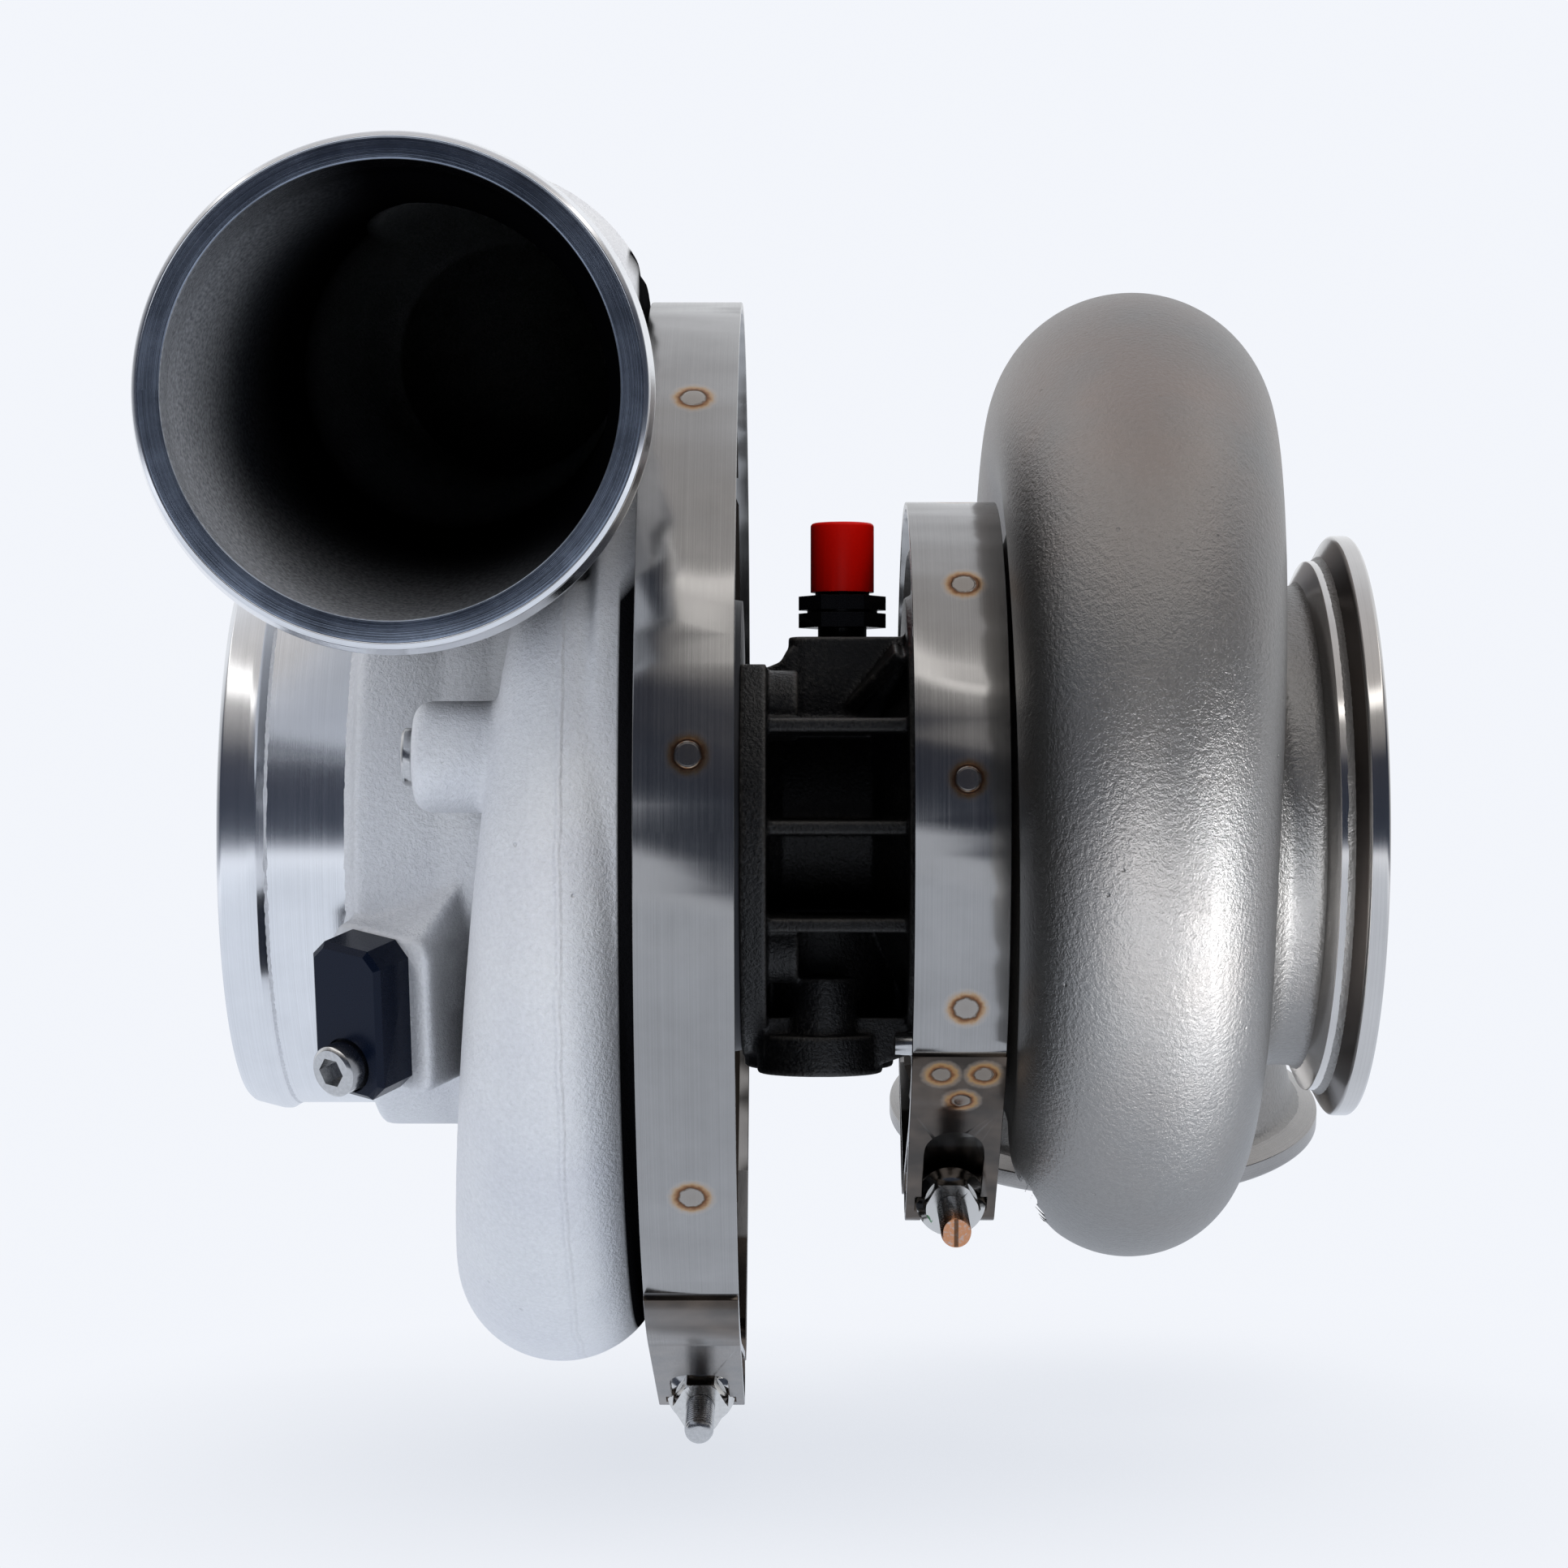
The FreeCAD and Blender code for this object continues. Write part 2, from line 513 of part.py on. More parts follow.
# ---- bearing housing ----
def bearing_housing():
    core = turned([
        (-20.4, 10), (-20.4, 47), (-15.3, 47), (-15.3, 26), (-12, 23), (6, 23), (12.6, 34), (12.6, 46.6),
        (14.4, 47.4), (14.7, TURBINE_NECK_R - 0.6), (15.0, TURBINE_NECK_R + 0.8), (17.8, TURBINE_RIM_R),
        (TURBINE_JOINT_X, TURBINE_RIM_R), (TURBINE_JOINT_X, 44.2), (16.5, 40), (16.5, 14),
        (TURBINE_JOINT_X - 0.3, 12), (TURBINE_JOINT_X - 0.3, 8), (17.2, 8), (17.2, 6)])
    core = core.cut(box(-21, -15.0, -60, 60, 32, 60))
    boss = box(-11, 12.8, -13, 13, 18, OIL_BOSS_TOP_Z)
    upright = [e for e in boss.Edges if abs(e.BoundBox.ZLength - (OIL_BOSS_TOP_Z - 18)) < 0.01]
    boss = boss.makeFillet(3.0, [e for e in upright if e.BoundBox.XMax < 0])
    boss_foot = polygon_face([V(-20, -13, 18), V(-20, -13, 32), V(-15.5, -13, 32), V(-12.6, -13, 33.2),
                              V(-11.3, -13, 35.6), V(-10, -13, 36.5), V(-10, -13, 18)]).extrude(V(0, 26, 0))
    ribs = []
    for z in (20.0, 0.0, -19.0):
        for side in (-1, 1):
            y0, y1 = sorted((side * 12.0, side * 40.0))
            ribs.append(box(-16, 12.7, y0, y1, z - 1.4, z + 1.4))
    gusset = polygon_face([V(12.7, -10, 36), V(12.7, -27, 33), V(0, -10, 20)]).extrude(V(-2.4, 0, 1.8))
    drain = cylinder(15.2, V(DRAIN_X, 0, -12), V(DRAIN_X, 0, DRAIN_FACE_Z))
    foot_half, foot_end_y = 12.6, 17.4
    foot_top_z = DRAIN_FACE_Z + 8
    foot = box(DRAIN_X - foot_half, DRAIN_X + foot_half, -foot_end_y, foot_end_y, DRAIN_FACE_Z, foot_top_z)
    foot = foot.fuse([cylinder(foot_half, V(DRAIN_X, s * foot_end_y, DRAIN_FACE_Z),
                               V(DRAIN_X, s * foot_end_y, foot_top_z)) for s in (-1, 1)])
    bolt_bosses = [cylinder(6.6, V(DRAIN_X + 0.8, s * DRAIN_BOLT_SPACING / 2, -30),
                            V(DRAIN_X + 0.8, s * DRAIN_BOLT_SPACING / 2, DRAIN_FACE_Z)) for s in (-1, 1)]
    shoulder = polygon_face([V(-16, -24, -38), V(-16, -24, -45.5), V(-10, -24, -48.5), V(4, -24, -48.5),
                             V(12.7, -24, -45.5), V(12.7, -24, -38)]).extrude(V(0, 48, 0))
    drain_webs = box(-16, 12.7, -3, 3, -43, -20)
    bolt_pads = [cylinder(7.0, clock_point(-16, BACKPLATE_BOLT_R, c), clock_point(-9, BACKPLATE_BOLT_R, c))
                 for c in BACKPLATE_BOLT_CLOCKS]
    body = core.fuse([boss, boss_foot, gusset, drain, foot, shoulder, drain_webs] + ribs + bolt_pads
                     + bolt_bosses)

    bearing_bore = cylinder(BEARING_BORE_R, V(-21, 0, 0), V(17.2, 0, 0))
    seal_bore = cylinder(8.0, V(17, 0, 0), V(23, 0, 0))
    slinger_room = turned([(-21, 0), (-21, 18), (-18.5, 18), (-17.2, BEARING_BORE_R), (-17.2, 0)])
    feed = cylinder(OIL_GALLERY_R, V(0, 0, 10), V(0, 0, 30))
    feed_thread = cylinder(5.0, V(0, 0, 24), V(0, 0, 40))
    drain_bore = cylinder(DRAIN_BORE_R, V(DRAIN_X, 0, DRAIN_BORE_TOP_Z), V(DRAIN_X, 0, -60))
    drain_throat = cylinder(DRAIN_THROAT_R, V(DRAIN_X, 0, 0), V(DRAIN_X, 0, -40))
    drain_taps = [cylinder(DRAIN_THREAD_R, V(DRAIN_X, s * DRAIN_BOLT_SPACING / 2, DRAIN_FACE_Z - 1),
                           V(DRAIN_X, s * DRAIN_BOLT_SPACING / 2, DRAIN_FACE_Z + 13)) for s in (-1, 1)]
    plate_taps = [cylinder(3.0, clock_point(-22, BACKPLATE_BOLT_R, c), clock_point(-12, BACKPLATE_BOLT_R, c))
                  for c in BACKPLATE_BOLT_CLOCKS]
    cutters = [bearing_bore, seal_bore, slinger_room, feed, feed_thread, drain_bore, drain_throat,
               locating_pin_hole(2.2),
               bearing_pin_shape()] + drain_taps + plate_taps
    for cutter in cutters:
        body = body.cut(cutter)
    return clean(single_solid(body))


def bearing_pin_shape():
    return cylinder(1.5, V(8, 9.6, 0), V(8, 24, 0))


LOCATING_PIN = V(0, -24.0, -43.2)


def locating_pin_hole(radius):
    return cylinder(radius, LOCATING_PIN + V(10.2, 0, 0), LOCATING_PIN + V(26.5, 0, 0))


# ---- turbine side ----
def heat_shield():
    shield = turned([
        (TURBINE_JOINT_X, 51.9), (22.9, 51.9), (22.9, 45), (26.3, 41), (26.3, 12.6), (25.3, 12.6),
        (25.3, 40.6), (TURBINE_JOINT_X, 44.6)])
    return shield.cut(locating_pin_hole(2.3))


TURBINE_SCROLL = [
    # angle along the gas path, x centre, centre radius, outside radius, passage radius
    (0.0, 62.0, 88.0, 32.0, 27.0), (45.0, 60.5, 84.2, 30.6, 25.2), (90.0, 58.9, 80.2, 29.0, 23.4),
    (135.0, 57.3, 77.0, 26.5, 21.0), (180.0, 56.0, 74.0, 24.0, 18.4), (225.0, 56.4, 68.6, 23.6, 15.0),
    (270.0, 57.3, 63.4, 23.3, 11.5), (310.0, 56.5, 60.0, 20.0, 8.0), (345.0, 54.0, 57.0, 12.0, 5.0)]


def turbine_scroll(outer):
    wires = []
    last = TURBINE_SCROLL[-1][0]
    for step in range(16):
        angle = last * step / 15
        x, centre_r, radius, passage = interpolate(TURBINE_SCROLL, angle)
        clock = 270.0 + angle
        if outer:
            wires.append(clock_circle(clock, x, centre_r, radius))
        else:
            wires.append(clock_circle(clock, 35.5 + passage, centre_r + radius - 5.0 - passage, passage))
    return loft(wires)


def turbine_inlet_direction():
    a = math.radians(TURBINE_INLET_TILT_DEG)
    return V(0, math.sin(a), -math.cos(a))


def turbine_inlet_pipe(outer):
    x, y, z = TURBINE_INLET_CENTRE
    out = turbine_inlet_direction()
    if outer:
        rows = [(62.0, 88.0, 0.0, 32.0), (62.0, 91.6, -22.0, 34.6), (62.0, 98.2, -46.0, 40.0)]
        end_r, step = TURBINE_INLET_NECK_R, 6.0
    else:
        rows = [(62.5, 88.0, 0.0, 27.0), (62.3, 91.6, -22.0, 29.8), (62.0, 98.2, -46.0, 34.8)]
        end_r, step = TURBINE_INLET_BORE_R, 3.0
    wires = [duct_circle(rows[0][:3], (0.0, 1.0), rows[0][3])]
    for row in rows[1:]:
        wires.append(duct_circle(row[:3], (-out.y, -out.z), row[3]))
    end = V(x, y, z) - out * step
    wires.append(duct_circle((end.x, end.y, end.z), (-out.y, -out.z), end_r))
    return loft(wires)


def turbine_inlet_flange():
    """V flange of the turbine inlet, drawn as (distance behind the face, radius)."""
    rim = TURBINE_INLET_RIM_R
    flange = turned([(0, 0), (0, rim - 0.6), (0.6, rim), (4.0, rim), (6.4, TURBINE_INLET_NECK_R),
                     (10, 43.4), (10, 0)])
    pocket = turned([(-1, 0), (-1, 45.6), (0.9, 45.6), (0.9, 0)])
    bore = turned([(-1, 0), (-1, TURBINE_INLET_BORE_R), (12, TURBINE_INLET_BORE_R), (12, 0)])
    inward = turbine_inlet_direction() * -1
    placed = []
    for shape in (flange, pocket, bore):
        shape.Placement = frame_placement(V(*TURBINE_INLET_CENTRE), inward, X_AXIS, inward.cross(X_AXIS))
        placed.append(shape)
    return placed


def turbine_housing():
    clear = WHEEL_CLEARANCE
    core = turned([
        (TURBINE_JOINT_X, 40), (TURBINE_JOINT_X, TURBINE_RIM_R), (26.0, TURBINE_RIM_R),
        (28.8, TURBINE_NECK_R + 0.8), (29.1, TURBINE_NECK_R), (32, TURBINE_NECK_R), (34.5, 62), (38, 68),
        (60, 70),
        (74, 64), (82, 52), (86, 49), (92.4, 49), (94.6, 54.1), (96.8, 54.1), (99.3, EXHAUST_RIM_R - 0.5),
        (99.8, EXHAUST_RIM_R), (102.6, EXHAUST_RIM_R), (EXHAUST_FACE_X, EXHAUST_RIM_R - 0.6),
        (EXHAUST_FACE_X, 38)])
    flange, pocket, inlet_bore = turbine_inlet_flange()
    body = core.fuse([turbine_scroll(True), turbine_inlet_pipe(True), flange])
    bore = turned([
        (21, 0), (21, 52), (22.9, 52), (22.9, 46), (27.6, 46), (27.6, 50), (33, 50.5), (37, 54.5), (38.5, 60),
        (38.5, 70), (47, 70), (47, 56), (44, 48), (42.0, 41.8), (41.2, TURBINE_INDUCER_R + clear), (46, 39.6),
        (51, 38.5), (56.5, TURBINE_EXDUCER_R + clear), (64, TURBINE_EXDUCER_R + clear), (90, EXHAUST_BORE_R),
        (104, EXHAUST_BORE_R), (104, 0)])
    body = body.cut(bore)
    body = body.cut(turbine_scroll(False))
    body = body.cut(turbine_inlet_pipe(False))
    for cutter in (pocket, inlet_bore, locating_pin_hole(2.25)):
        body = body.cut(cutter)
    return clean(single_solid(body))


# ---- V-band clamps ----
# A clamp is drawn with its T-bolt straight below the shaft and then turned about the shaft.
# Its drawing plane has t along the bolt towards the nut and h away from the shaft.
class Clamp:
    def __init__(self, x, half_width, outer_r, bolt_h, turn, rim_r, rim_half, neck_r, slope, domed,
                 stud_tip):
        self.x = x
        self.half_width = half_width
        self.outer_r = outer_r
        self.bolt_h = bolt_h
        self.turn = turn
        self.rim_r = rim_r
        self.rim_half = rim_half
        self.neck_r = neck_r
        self.slope = slope
        self.domed = domed
        self.stud_tip = stud_tip
        self.nut_loop = (10.5, 4.3)
        self.head_loop = (12.0, 4.2)
        self.seat = self.nut_loop[0] + 6.3

    def flat(self, t, h, dx=0.0):
        return V(self.x + dx, -t, -h)

    def placed(self, shape):
        return turn_about_shaft(shape, self.turn)

    def widen(self, face, half):
        face.translate(V(-half, 0, 0))
        return face.extrude(V(2 * half, 0, 0))

    def sector(self, ct, ch, r0, r1, a0, a1):
        """Part of a ring in the drawing plane; angles run from h towards t."""
        def at(r, a):
            a = math.radians(a)
            return self.flat(ct + r * math.sin(a), ch + r * math.cos(a))
        middle = (a0 + a1) / 2
        outer = Part.Arc(at(r1, a0), at(r1, middle), at(r1, a1)).toShape()
        inner = Part.Arc(at(r0, a1), at(r0, middle), at(r0, a0)).toShape()
        ends = [Part.makeLine(at(r1, a1), at(r0, a1)), Part.makeLine(at(r0, a0), at(r1, a0))]
        wire = Part.Wire([outer, ends[0], inner, ends[1]])
        return self.widen(Part.Face(wire), self.half_width)

    def slab(self, angle, r0, r1, length):
        """Straight strip that leaves the ring along its tangent, back towards the bolt foot."""
        a = math.radians(angle)
        n = (math.sin(a), math.cos(a))
        d = (-math.cos(a), math.sin(a))
        points = [self.flat(r0 * n[0], r0 * n[1]), self.flat(r1 * n[0], r1 * n[1]),
                  self.flat(r1 * n[0] + length * d[0], r1 * n[1] + length * d[1]),
                  self.flat(r0 * n[0] + length * d[0], r0 * n[1] + length * d[1])]
        return self.widen(polygon_face(points), self.half_width)

    def slot(self, t0, t1, half):
        lowest = self.bolt_h - 40
        return box(self.x - half, self.x + half, -t1, -t0, -self.bolt_h - 20, -lowest)

    def loop(self, t_centre, pin_r, overlap, slot_half):
        """One folded strap end round its trunnion; returns the pieces and the start of the fold."""
        th = CLAMP_THICKNESS
        distance = math.hypot(t_centre, self.bolt_h)
        lean = math.degrees(math.atan2(t_centre, self.bolt_h))
        turn_in = math.acos((self.outer_r + pin_r) / distance)
        turn_out = math.acos((self.outer_r - pin_r) / distance)
        angle_in = lean + math.degrees(turn_in)
        angle_out = lean + math.degrees(turn_out)
        under = self.slab(angle_in, self.outer_r - th, self.outer_r, distance * math.sin(turn_in))
        over = self.slab(angle_out, self.outer_r, self.outer_r + th, distance * math.sin(turn_out))
        fold = self.sector(t_centre, self.bolt_h, pin_r, pin_r + th, angle_in - 180, angle_out)
        lap = self.sector(0, 0, self.outer_r, self.outer_r + th, angle_out, angle_out + overlap)
        over = over.cut(self.slot(0, t_centre + SLOT_RUN, slot_half))
        over = over.cut(cylinder(slot_half, self.flat(t_centre + SLOT_RUN, self.bolt_h - 40),
                                 self.flat(t_centre + SLOT_RUN, self.bolt_h + 20)))
        fold = fold.cut(self.slot(t_centre, t_centre + 20, slot_half))
        fold = fold.cut(self.slot(-20, t_centre + 1, BOLT_R + 0.4))
        return [under, over, fold, lap], angle_in

    def band(self):
        nut_side, nut_angle = self.loop(*self.nut_loop, 14.0, 5.9)
        nut_room = self.slot(self.seat - 0.6, self.seat + 3.6, NUT_FLANGE_R + 0.2)
        nut_side[1] = nut_side[1].cut(nut_room)
        head_side, head_angle = self.loop(*self.head_loop, 14.0, 4.5)
        mirror_base = V(0, 0, 0)
        head_side = [s.mirror(mirror_base, V(0, 1, 0)) for s in head_side]
        ring = self.sector(0, 0, self.outer_r - CLAMP_THICKNESS, self.outer_r, nut_angle, 360 - head_angle)
        return self.placed(clean(ring.fuse(nut_side + head_side)))

    def segments(self):
        """Three V-section liners that wedge the two flange rims together."""
        top = self.outer_r - CLAMP_THICKNESS
        th = CLAMP_THICKNESS
        under = top - th
        inner = self.rim_half + 0.08 + (self.rim_r - under) * self.slope
        leg = inner + (under - self.neck_r - 0.6) * self.slope
        half = [(inner, under), (leg, self.neck_r + 0.6), (leg + th, self.neck_r + 0.9), (inner + th, top)]
        outline = [(self.x - x, r) for x, r in half] + [(self.x + x, r) for x, r in reversed(half)]
        face = polygon_face([V(x, 0, -r) for x, r in outline])
        pieces = []
        for start in (16.0, 127.0, 238.0):
            wedge = face.copy()
            wedge.rotate(ORIGIN, X_AXIS, start)
            pieces.append(self.placed(wedge.revolve(ORIGIN, X_AXIS, 106.0)))
        return Part.makeCompound(pieces)

    def tbolt(self):
        t_head, r_head = self.head_loop
        head = cylinder(r_head, self.flat(-t_head, self.bolt_h, -7.8), self.flat(-t_head, self.bolt_h, 7.8))
        tip = self.stud_tip
        stud = cylinder(BOLT_R, self.flat(-t_head, self.bolt_h), self.flat(tip, self.bolt_h))
        end_edge = [e for e in stud.Edges if abs(e.BoundBox.YMin + tip) < 0.01 and e.BoundBox.YLength < 0.01]
        if self.domed:
            stud = stud.makeFillet(2.2, end_edge)
        else:
            stud = stud.makeChamfer(0.5, end_edge)
            groove = box(self.x - 0.4, self.x + 0.4, -tip - 1, -tip + 1.2, -self.bolt_h - 5, -self.bolt_h + 5)
            stud = stud.cut(groove)
        return self.placed(clean(head.fuse(stud)))

    def trunnion(self):
        t, r = self.nut_loop
        barrel = cylinder(r, self.flat(t, self.bolt_h, -7.8), self.flat(t, self.bolt_h, 7.8))
        nose = cylinder(5.5, self.flat(t, self.bolt_h), self.flat(self.seat, self.bolt_h))
        nose = nose.common(box(self.x - 6, self.x + 6, -self.seat - 1, 0, -self.bolt_h - r, -self.bolt_h + r))
        barrel = barrel.fuse(nose)
        hole = cylinder(BOLT_R + 0.1, self.flat(t - 8, self.bolt_h), self.flat(self.seat + 1, self.bolt_h))
        return self.placed(clean(barrel.cut(hole)))

    def nut(self):
        seat = self.seat
        along = V(0, -1, 0)
        flange = cylinder(NUT_FLANGE_R, self.flat(seat, self.bolt_h), self.flat(seat + 1.6, self.bolt_h))
        cone = Part.makeCone(NUT_FLANGE_R, NUT_HEX_R - 0.4, 1.8, self.flat(seat + 1.6, self.bolt_h), along)
        hexa = hexagon(NUT_HEX_R, self.flat(seat + 1.6, self.bolt_h), along, 7.2)
        hexa = hexa.common(Part.makeCone(NUT_HEX_R + 7.0, NUT_HEX_R - 0.5, 7.2,
                                         self.flat(seat + 1.6, self.bolt_h), along))
        bore = cylinder(BOLT_R, self.flat(seat - 1, self.bolt_h), self.flat(seat + 12, self.bolt_h))
        return self.placed(clean(flange.fuse([cone, hexa]).cut(bore)))


COMPRESSOR_CLAMP = Clamp(COMPRESSOR_JOINT_X, 9.0, 106.5, 118.0, 15.0, COMPRESSOR_RIM_R, 4.0,
                         COMPRESSOR_NECK_R, 0.34, True, 38.0)
TURBINE_CLAMP = Clamp(TURBINE_JOINT_X, 9.1, 66.2, 74.5, 7.0, TURBINE_RIM_R, 4.1, TURBINE_NECK_R,
                      0.40, False, 45.0)


# ---- oil inlet ----
def oil_inlet_fitting():
    hex_low = hexagon(9.0, V(0, 0, 40.5), V(0, 0, 1), 3.0)
    hex_high = hexagon(9.0, V(0, 0, 44.1), V(0, 0, 1), 2.9)
    fitting = cylinder(5.0, V(0, 0, 24.0), V(0, 0, 40.6))
    fitting = fitting.fuse([hex_low, hex_high, cylinder(7.2, V(0, 0, 43.4), V(0, 0, 44.2)),
                            cylinder(5.55, V(0, 0, 46.9), V(0, 0, 57.5)),
                            Part.makeCone(5.55, 3.6, 2.6, V(0, 0, 57.5))])
    return clean(fitting.cut(cylinder(2.2, V(0, 0, 20), V(0, 0, 62))))


def oil_inlet_cap():
    cap = cylinder(6.5, V(0, 0, 47.8), V(0, 0, 62.0))
    cap = cap.makeFillet(0.8, [e for e in cap.Edges if e.BoundBox.ZMin > 61.9])
    return cap.cut(cylinder(5.6, V(0, 0, 47), V(0, 0, 60.6)))


def all_parts():
    return {
        "compressor_housing": compressor_housing(),
        "compressor_wheel": compressor_wheel(),
        "compressor_nut": compressor_nut(),
        "compressor_backplate": backplate(),
        "backplate_bolts": backplate_bolts(),
        "compressor_housing_oring": compressor_housing_oring(),
        "compressor_spacer": compressor_spacer(),
        "compressor_sealing_ring": sealing_ring(-36.6, -35.1, 10.2, 12.5),
        "bearing_housing": bearing_housing(),
        "bearing_outer_sleeve": bearing_sleeve(),
        "compressor_side_inner_race": inner_race(-1),
        "turbine_side_inner_race": inner_race(1),
        "compressor_side_balls": ball_row(-BALL_ROW_X),
        "turbine_side_balls": ball_row(BALL_ROW_X),
        "compressor_side_ball_cage": ball_cage(-BALL_ROW_X),
        "turbine_side_ball_cage": ball_cage(BALL_ROW_X),
        "bearing_locating_pin": bearing_pin_shape(),
        "turbine_wheel_and_shaft": turbine_wheel(),
        "turbine_sealing_ring": sealing_ring(18.5, 20.0, 6.5, 8.0),
        "heat_shield": heat_shield(),
        "turbine_housing": turbine_housing(),
        "turbine_locating_pin": locating_pin_hole(2.2),
        "compressor_clamp_band": COMPRESSOR_CLAMP.band(),
        "compressor_clamp_segments": COMPRESSOR_CLAMP.segments(),
        "compressor_clamp_t_bolt": COMPRESSOR_CLAMP.tbolt(),
        "compressor_clamp_trunnion": COMPRESSOR_CLAMP.trunnion(),
        "compressor_clamp_nut": COMPRESSOR_CLAMP.nut(),
        "turbine_clamp_band": TURBINE_CLAMP.band(),
        "turbine_clamp_segments": TURBINE_CLAMP.segments(),
        "turbine_clamp_t_bolt": TURBINE_CLAMP.tbolt(),
        "turbine_clamp_trunnion": TURBINE_CLAMP.trunnion(),
        "turbine_clamp_nut": TURBINE_CLAMP.nut(),
        "oil_inlet_fitting": oil_inlet_fitting(),
        "oil_inlet_cap": oil_inlet_cap(),
        "speed_sensor_block": speed_sensor_block(),
        "speed_sensor_screw": speed_sensor_screw(),
        "speed_sensor_oring": speed_sensor_oring(),
        "boost_port_plug": boost_port_plug(),
    }


os.makedirs("parts", exist_ok=True)
for node, shape in all_parts().items():
    shape.translated(V(-FRAME_ORIGIN_X, 0, 0)).exportStep(os.path.join("parts", node + ".step"))
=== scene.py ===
import json
import math
import bpy
from mathutils import Matrix, Vector


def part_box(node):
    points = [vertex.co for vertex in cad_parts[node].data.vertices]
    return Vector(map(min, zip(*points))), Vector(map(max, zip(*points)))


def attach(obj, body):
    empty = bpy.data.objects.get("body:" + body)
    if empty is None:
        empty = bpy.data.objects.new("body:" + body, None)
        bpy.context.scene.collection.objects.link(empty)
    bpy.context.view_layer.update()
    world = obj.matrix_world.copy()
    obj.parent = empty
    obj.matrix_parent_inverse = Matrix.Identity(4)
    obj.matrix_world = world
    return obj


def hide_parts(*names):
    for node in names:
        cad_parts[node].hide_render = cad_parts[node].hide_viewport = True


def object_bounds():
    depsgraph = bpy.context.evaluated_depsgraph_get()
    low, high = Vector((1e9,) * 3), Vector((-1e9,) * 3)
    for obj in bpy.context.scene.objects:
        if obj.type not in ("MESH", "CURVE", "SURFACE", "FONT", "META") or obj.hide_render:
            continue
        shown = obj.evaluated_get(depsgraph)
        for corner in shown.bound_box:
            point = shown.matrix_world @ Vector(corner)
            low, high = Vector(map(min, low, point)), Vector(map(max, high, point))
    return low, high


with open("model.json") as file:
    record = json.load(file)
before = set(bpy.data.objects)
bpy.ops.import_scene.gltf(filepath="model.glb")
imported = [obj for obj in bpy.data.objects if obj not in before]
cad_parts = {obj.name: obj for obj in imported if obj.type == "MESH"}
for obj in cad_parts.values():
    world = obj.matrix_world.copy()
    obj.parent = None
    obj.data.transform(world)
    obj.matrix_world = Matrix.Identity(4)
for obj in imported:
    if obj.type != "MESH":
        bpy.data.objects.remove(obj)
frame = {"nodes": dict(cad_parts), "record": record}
CAD_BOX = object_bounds()
NODES = frame["nodes"]
MOUNTS = {m["name"]: m for m in frame["record"]["mounts"]}
MM = 0.001


# ---------------------------------------------------------------- places
def mount_place(name):
    m = MOUNTS[name]
    return Vector(m["pos_m"]) * 1000, Vector(m["axis"]).normalized()


def box_mm(node):
    low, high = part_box(node)
    return low * 1000, high * 1000


INLET_FACE, INLET_AXIS = mount_place("compressor_inlet_hose_end")
DISCHARGE_FACE, DISCHARGE_AXIS = mount_place("compressor_discharge_hose_end")
EXHAUST_FACE = mount_place("exhaust_outlet_face")[0]
SHAFT_MIDDLE_X = mount_place("oil_inlet_thread")[0].x
INLET_FLANGE_POINT, FLANGE_AXIS = mount_place("turbine_inlet_face")
FLANGE_BORE_POINT = mount_place("turbine_inlet_bore")[0]
FLANGE_FACE = FLANGE_BORE_POINT + FLANGE_AXIS * (INLET_FLANGE_POINT - FLANGE_BORE_POINT).dot(FLANGE_AXIS)
BAND_THICKNESS = 1.4


def clamp_place(side):
    """The strap's middle along the shaft and its outer radius."""
    low, high = box_mm(side + "_clamp_segments")
    return (low.x + high.x) / 2, high.z + BAND_THICKNESS


def mean(points):
    return sum(points, Vector()) / len(points)


def bolt_line(side):
    """Centre of the T-bolt's cross bar and centre of the stud's free end."""
    points = [v.co * 1000 for v in NODES[side + "_clamp_t_bolt"].data.vertices]
    end_x = max(p.x for p in points) - 0.05
    bar = mean([p for p in points if p.x > end_x])
    bar.x = clamp_place(side)[0]
    nut = mean([v.co * 1000 for v in NODES[side + "_clamp_nut"].data.vertices])
    direction = (nut - bar).normalized()
    reach = max((p - bar).dot(direction) for p in points)
    return bar, mean([p for p in points if (p - bar).dot(direction) > reach - 0.3])


# ---------------------------------------------------------------- mesh helpers
def mesh_object(name, verts, faces, matrix, smooth_deg=30.0):
    mesh = bpy.data.meshes.new(name)
    mesh.from_pydata([tuple(v) for v in verts], [], faces)
    mesh.validate()
    mesh.update()
    obj = bpy.data.objects.new(name, mesh)
    bpy.context.scene.collection.objects.link(obj)
    obj.matrix_world = matrix
    for poly in mesh.polygons:
        poly.use_smooth = True
    mesh.set_sharp_from_angle(angle=math.radians(smooth_deg))
    return obj


def along(origin_mm, axis):
    """Matrix whose local Z is axis, at an origin given in millimetres."""
    turn = Vector(axis).to_track_quat("Z", "Y").to_matrix().to_4x4()
    return Matrix.Translation(Vector(origin_mm) * MM) @ turn


def rounded(points, radius, steps=4):
    """Closed outline with every corner turned into a small curve."""
    out = []
    count = len(points)
    for i, p in enumerate(points):
        p = Vector(p)
        a = Vector(points[i - 1]) - p
        b = Vector(points[(i + 1) % count]) - p
        cut = min(radius, a.length * 0.45, b.length * 0.45)
        start = p + a.normalized() * cut
        end = p + b.normalized() * cut
        for k in range(steps + 1):
            t = k / steps
            out.append(start * (1 - t) ** 2 + p * (2 * t * (1 - t)) + end * t ** 2)
    return out


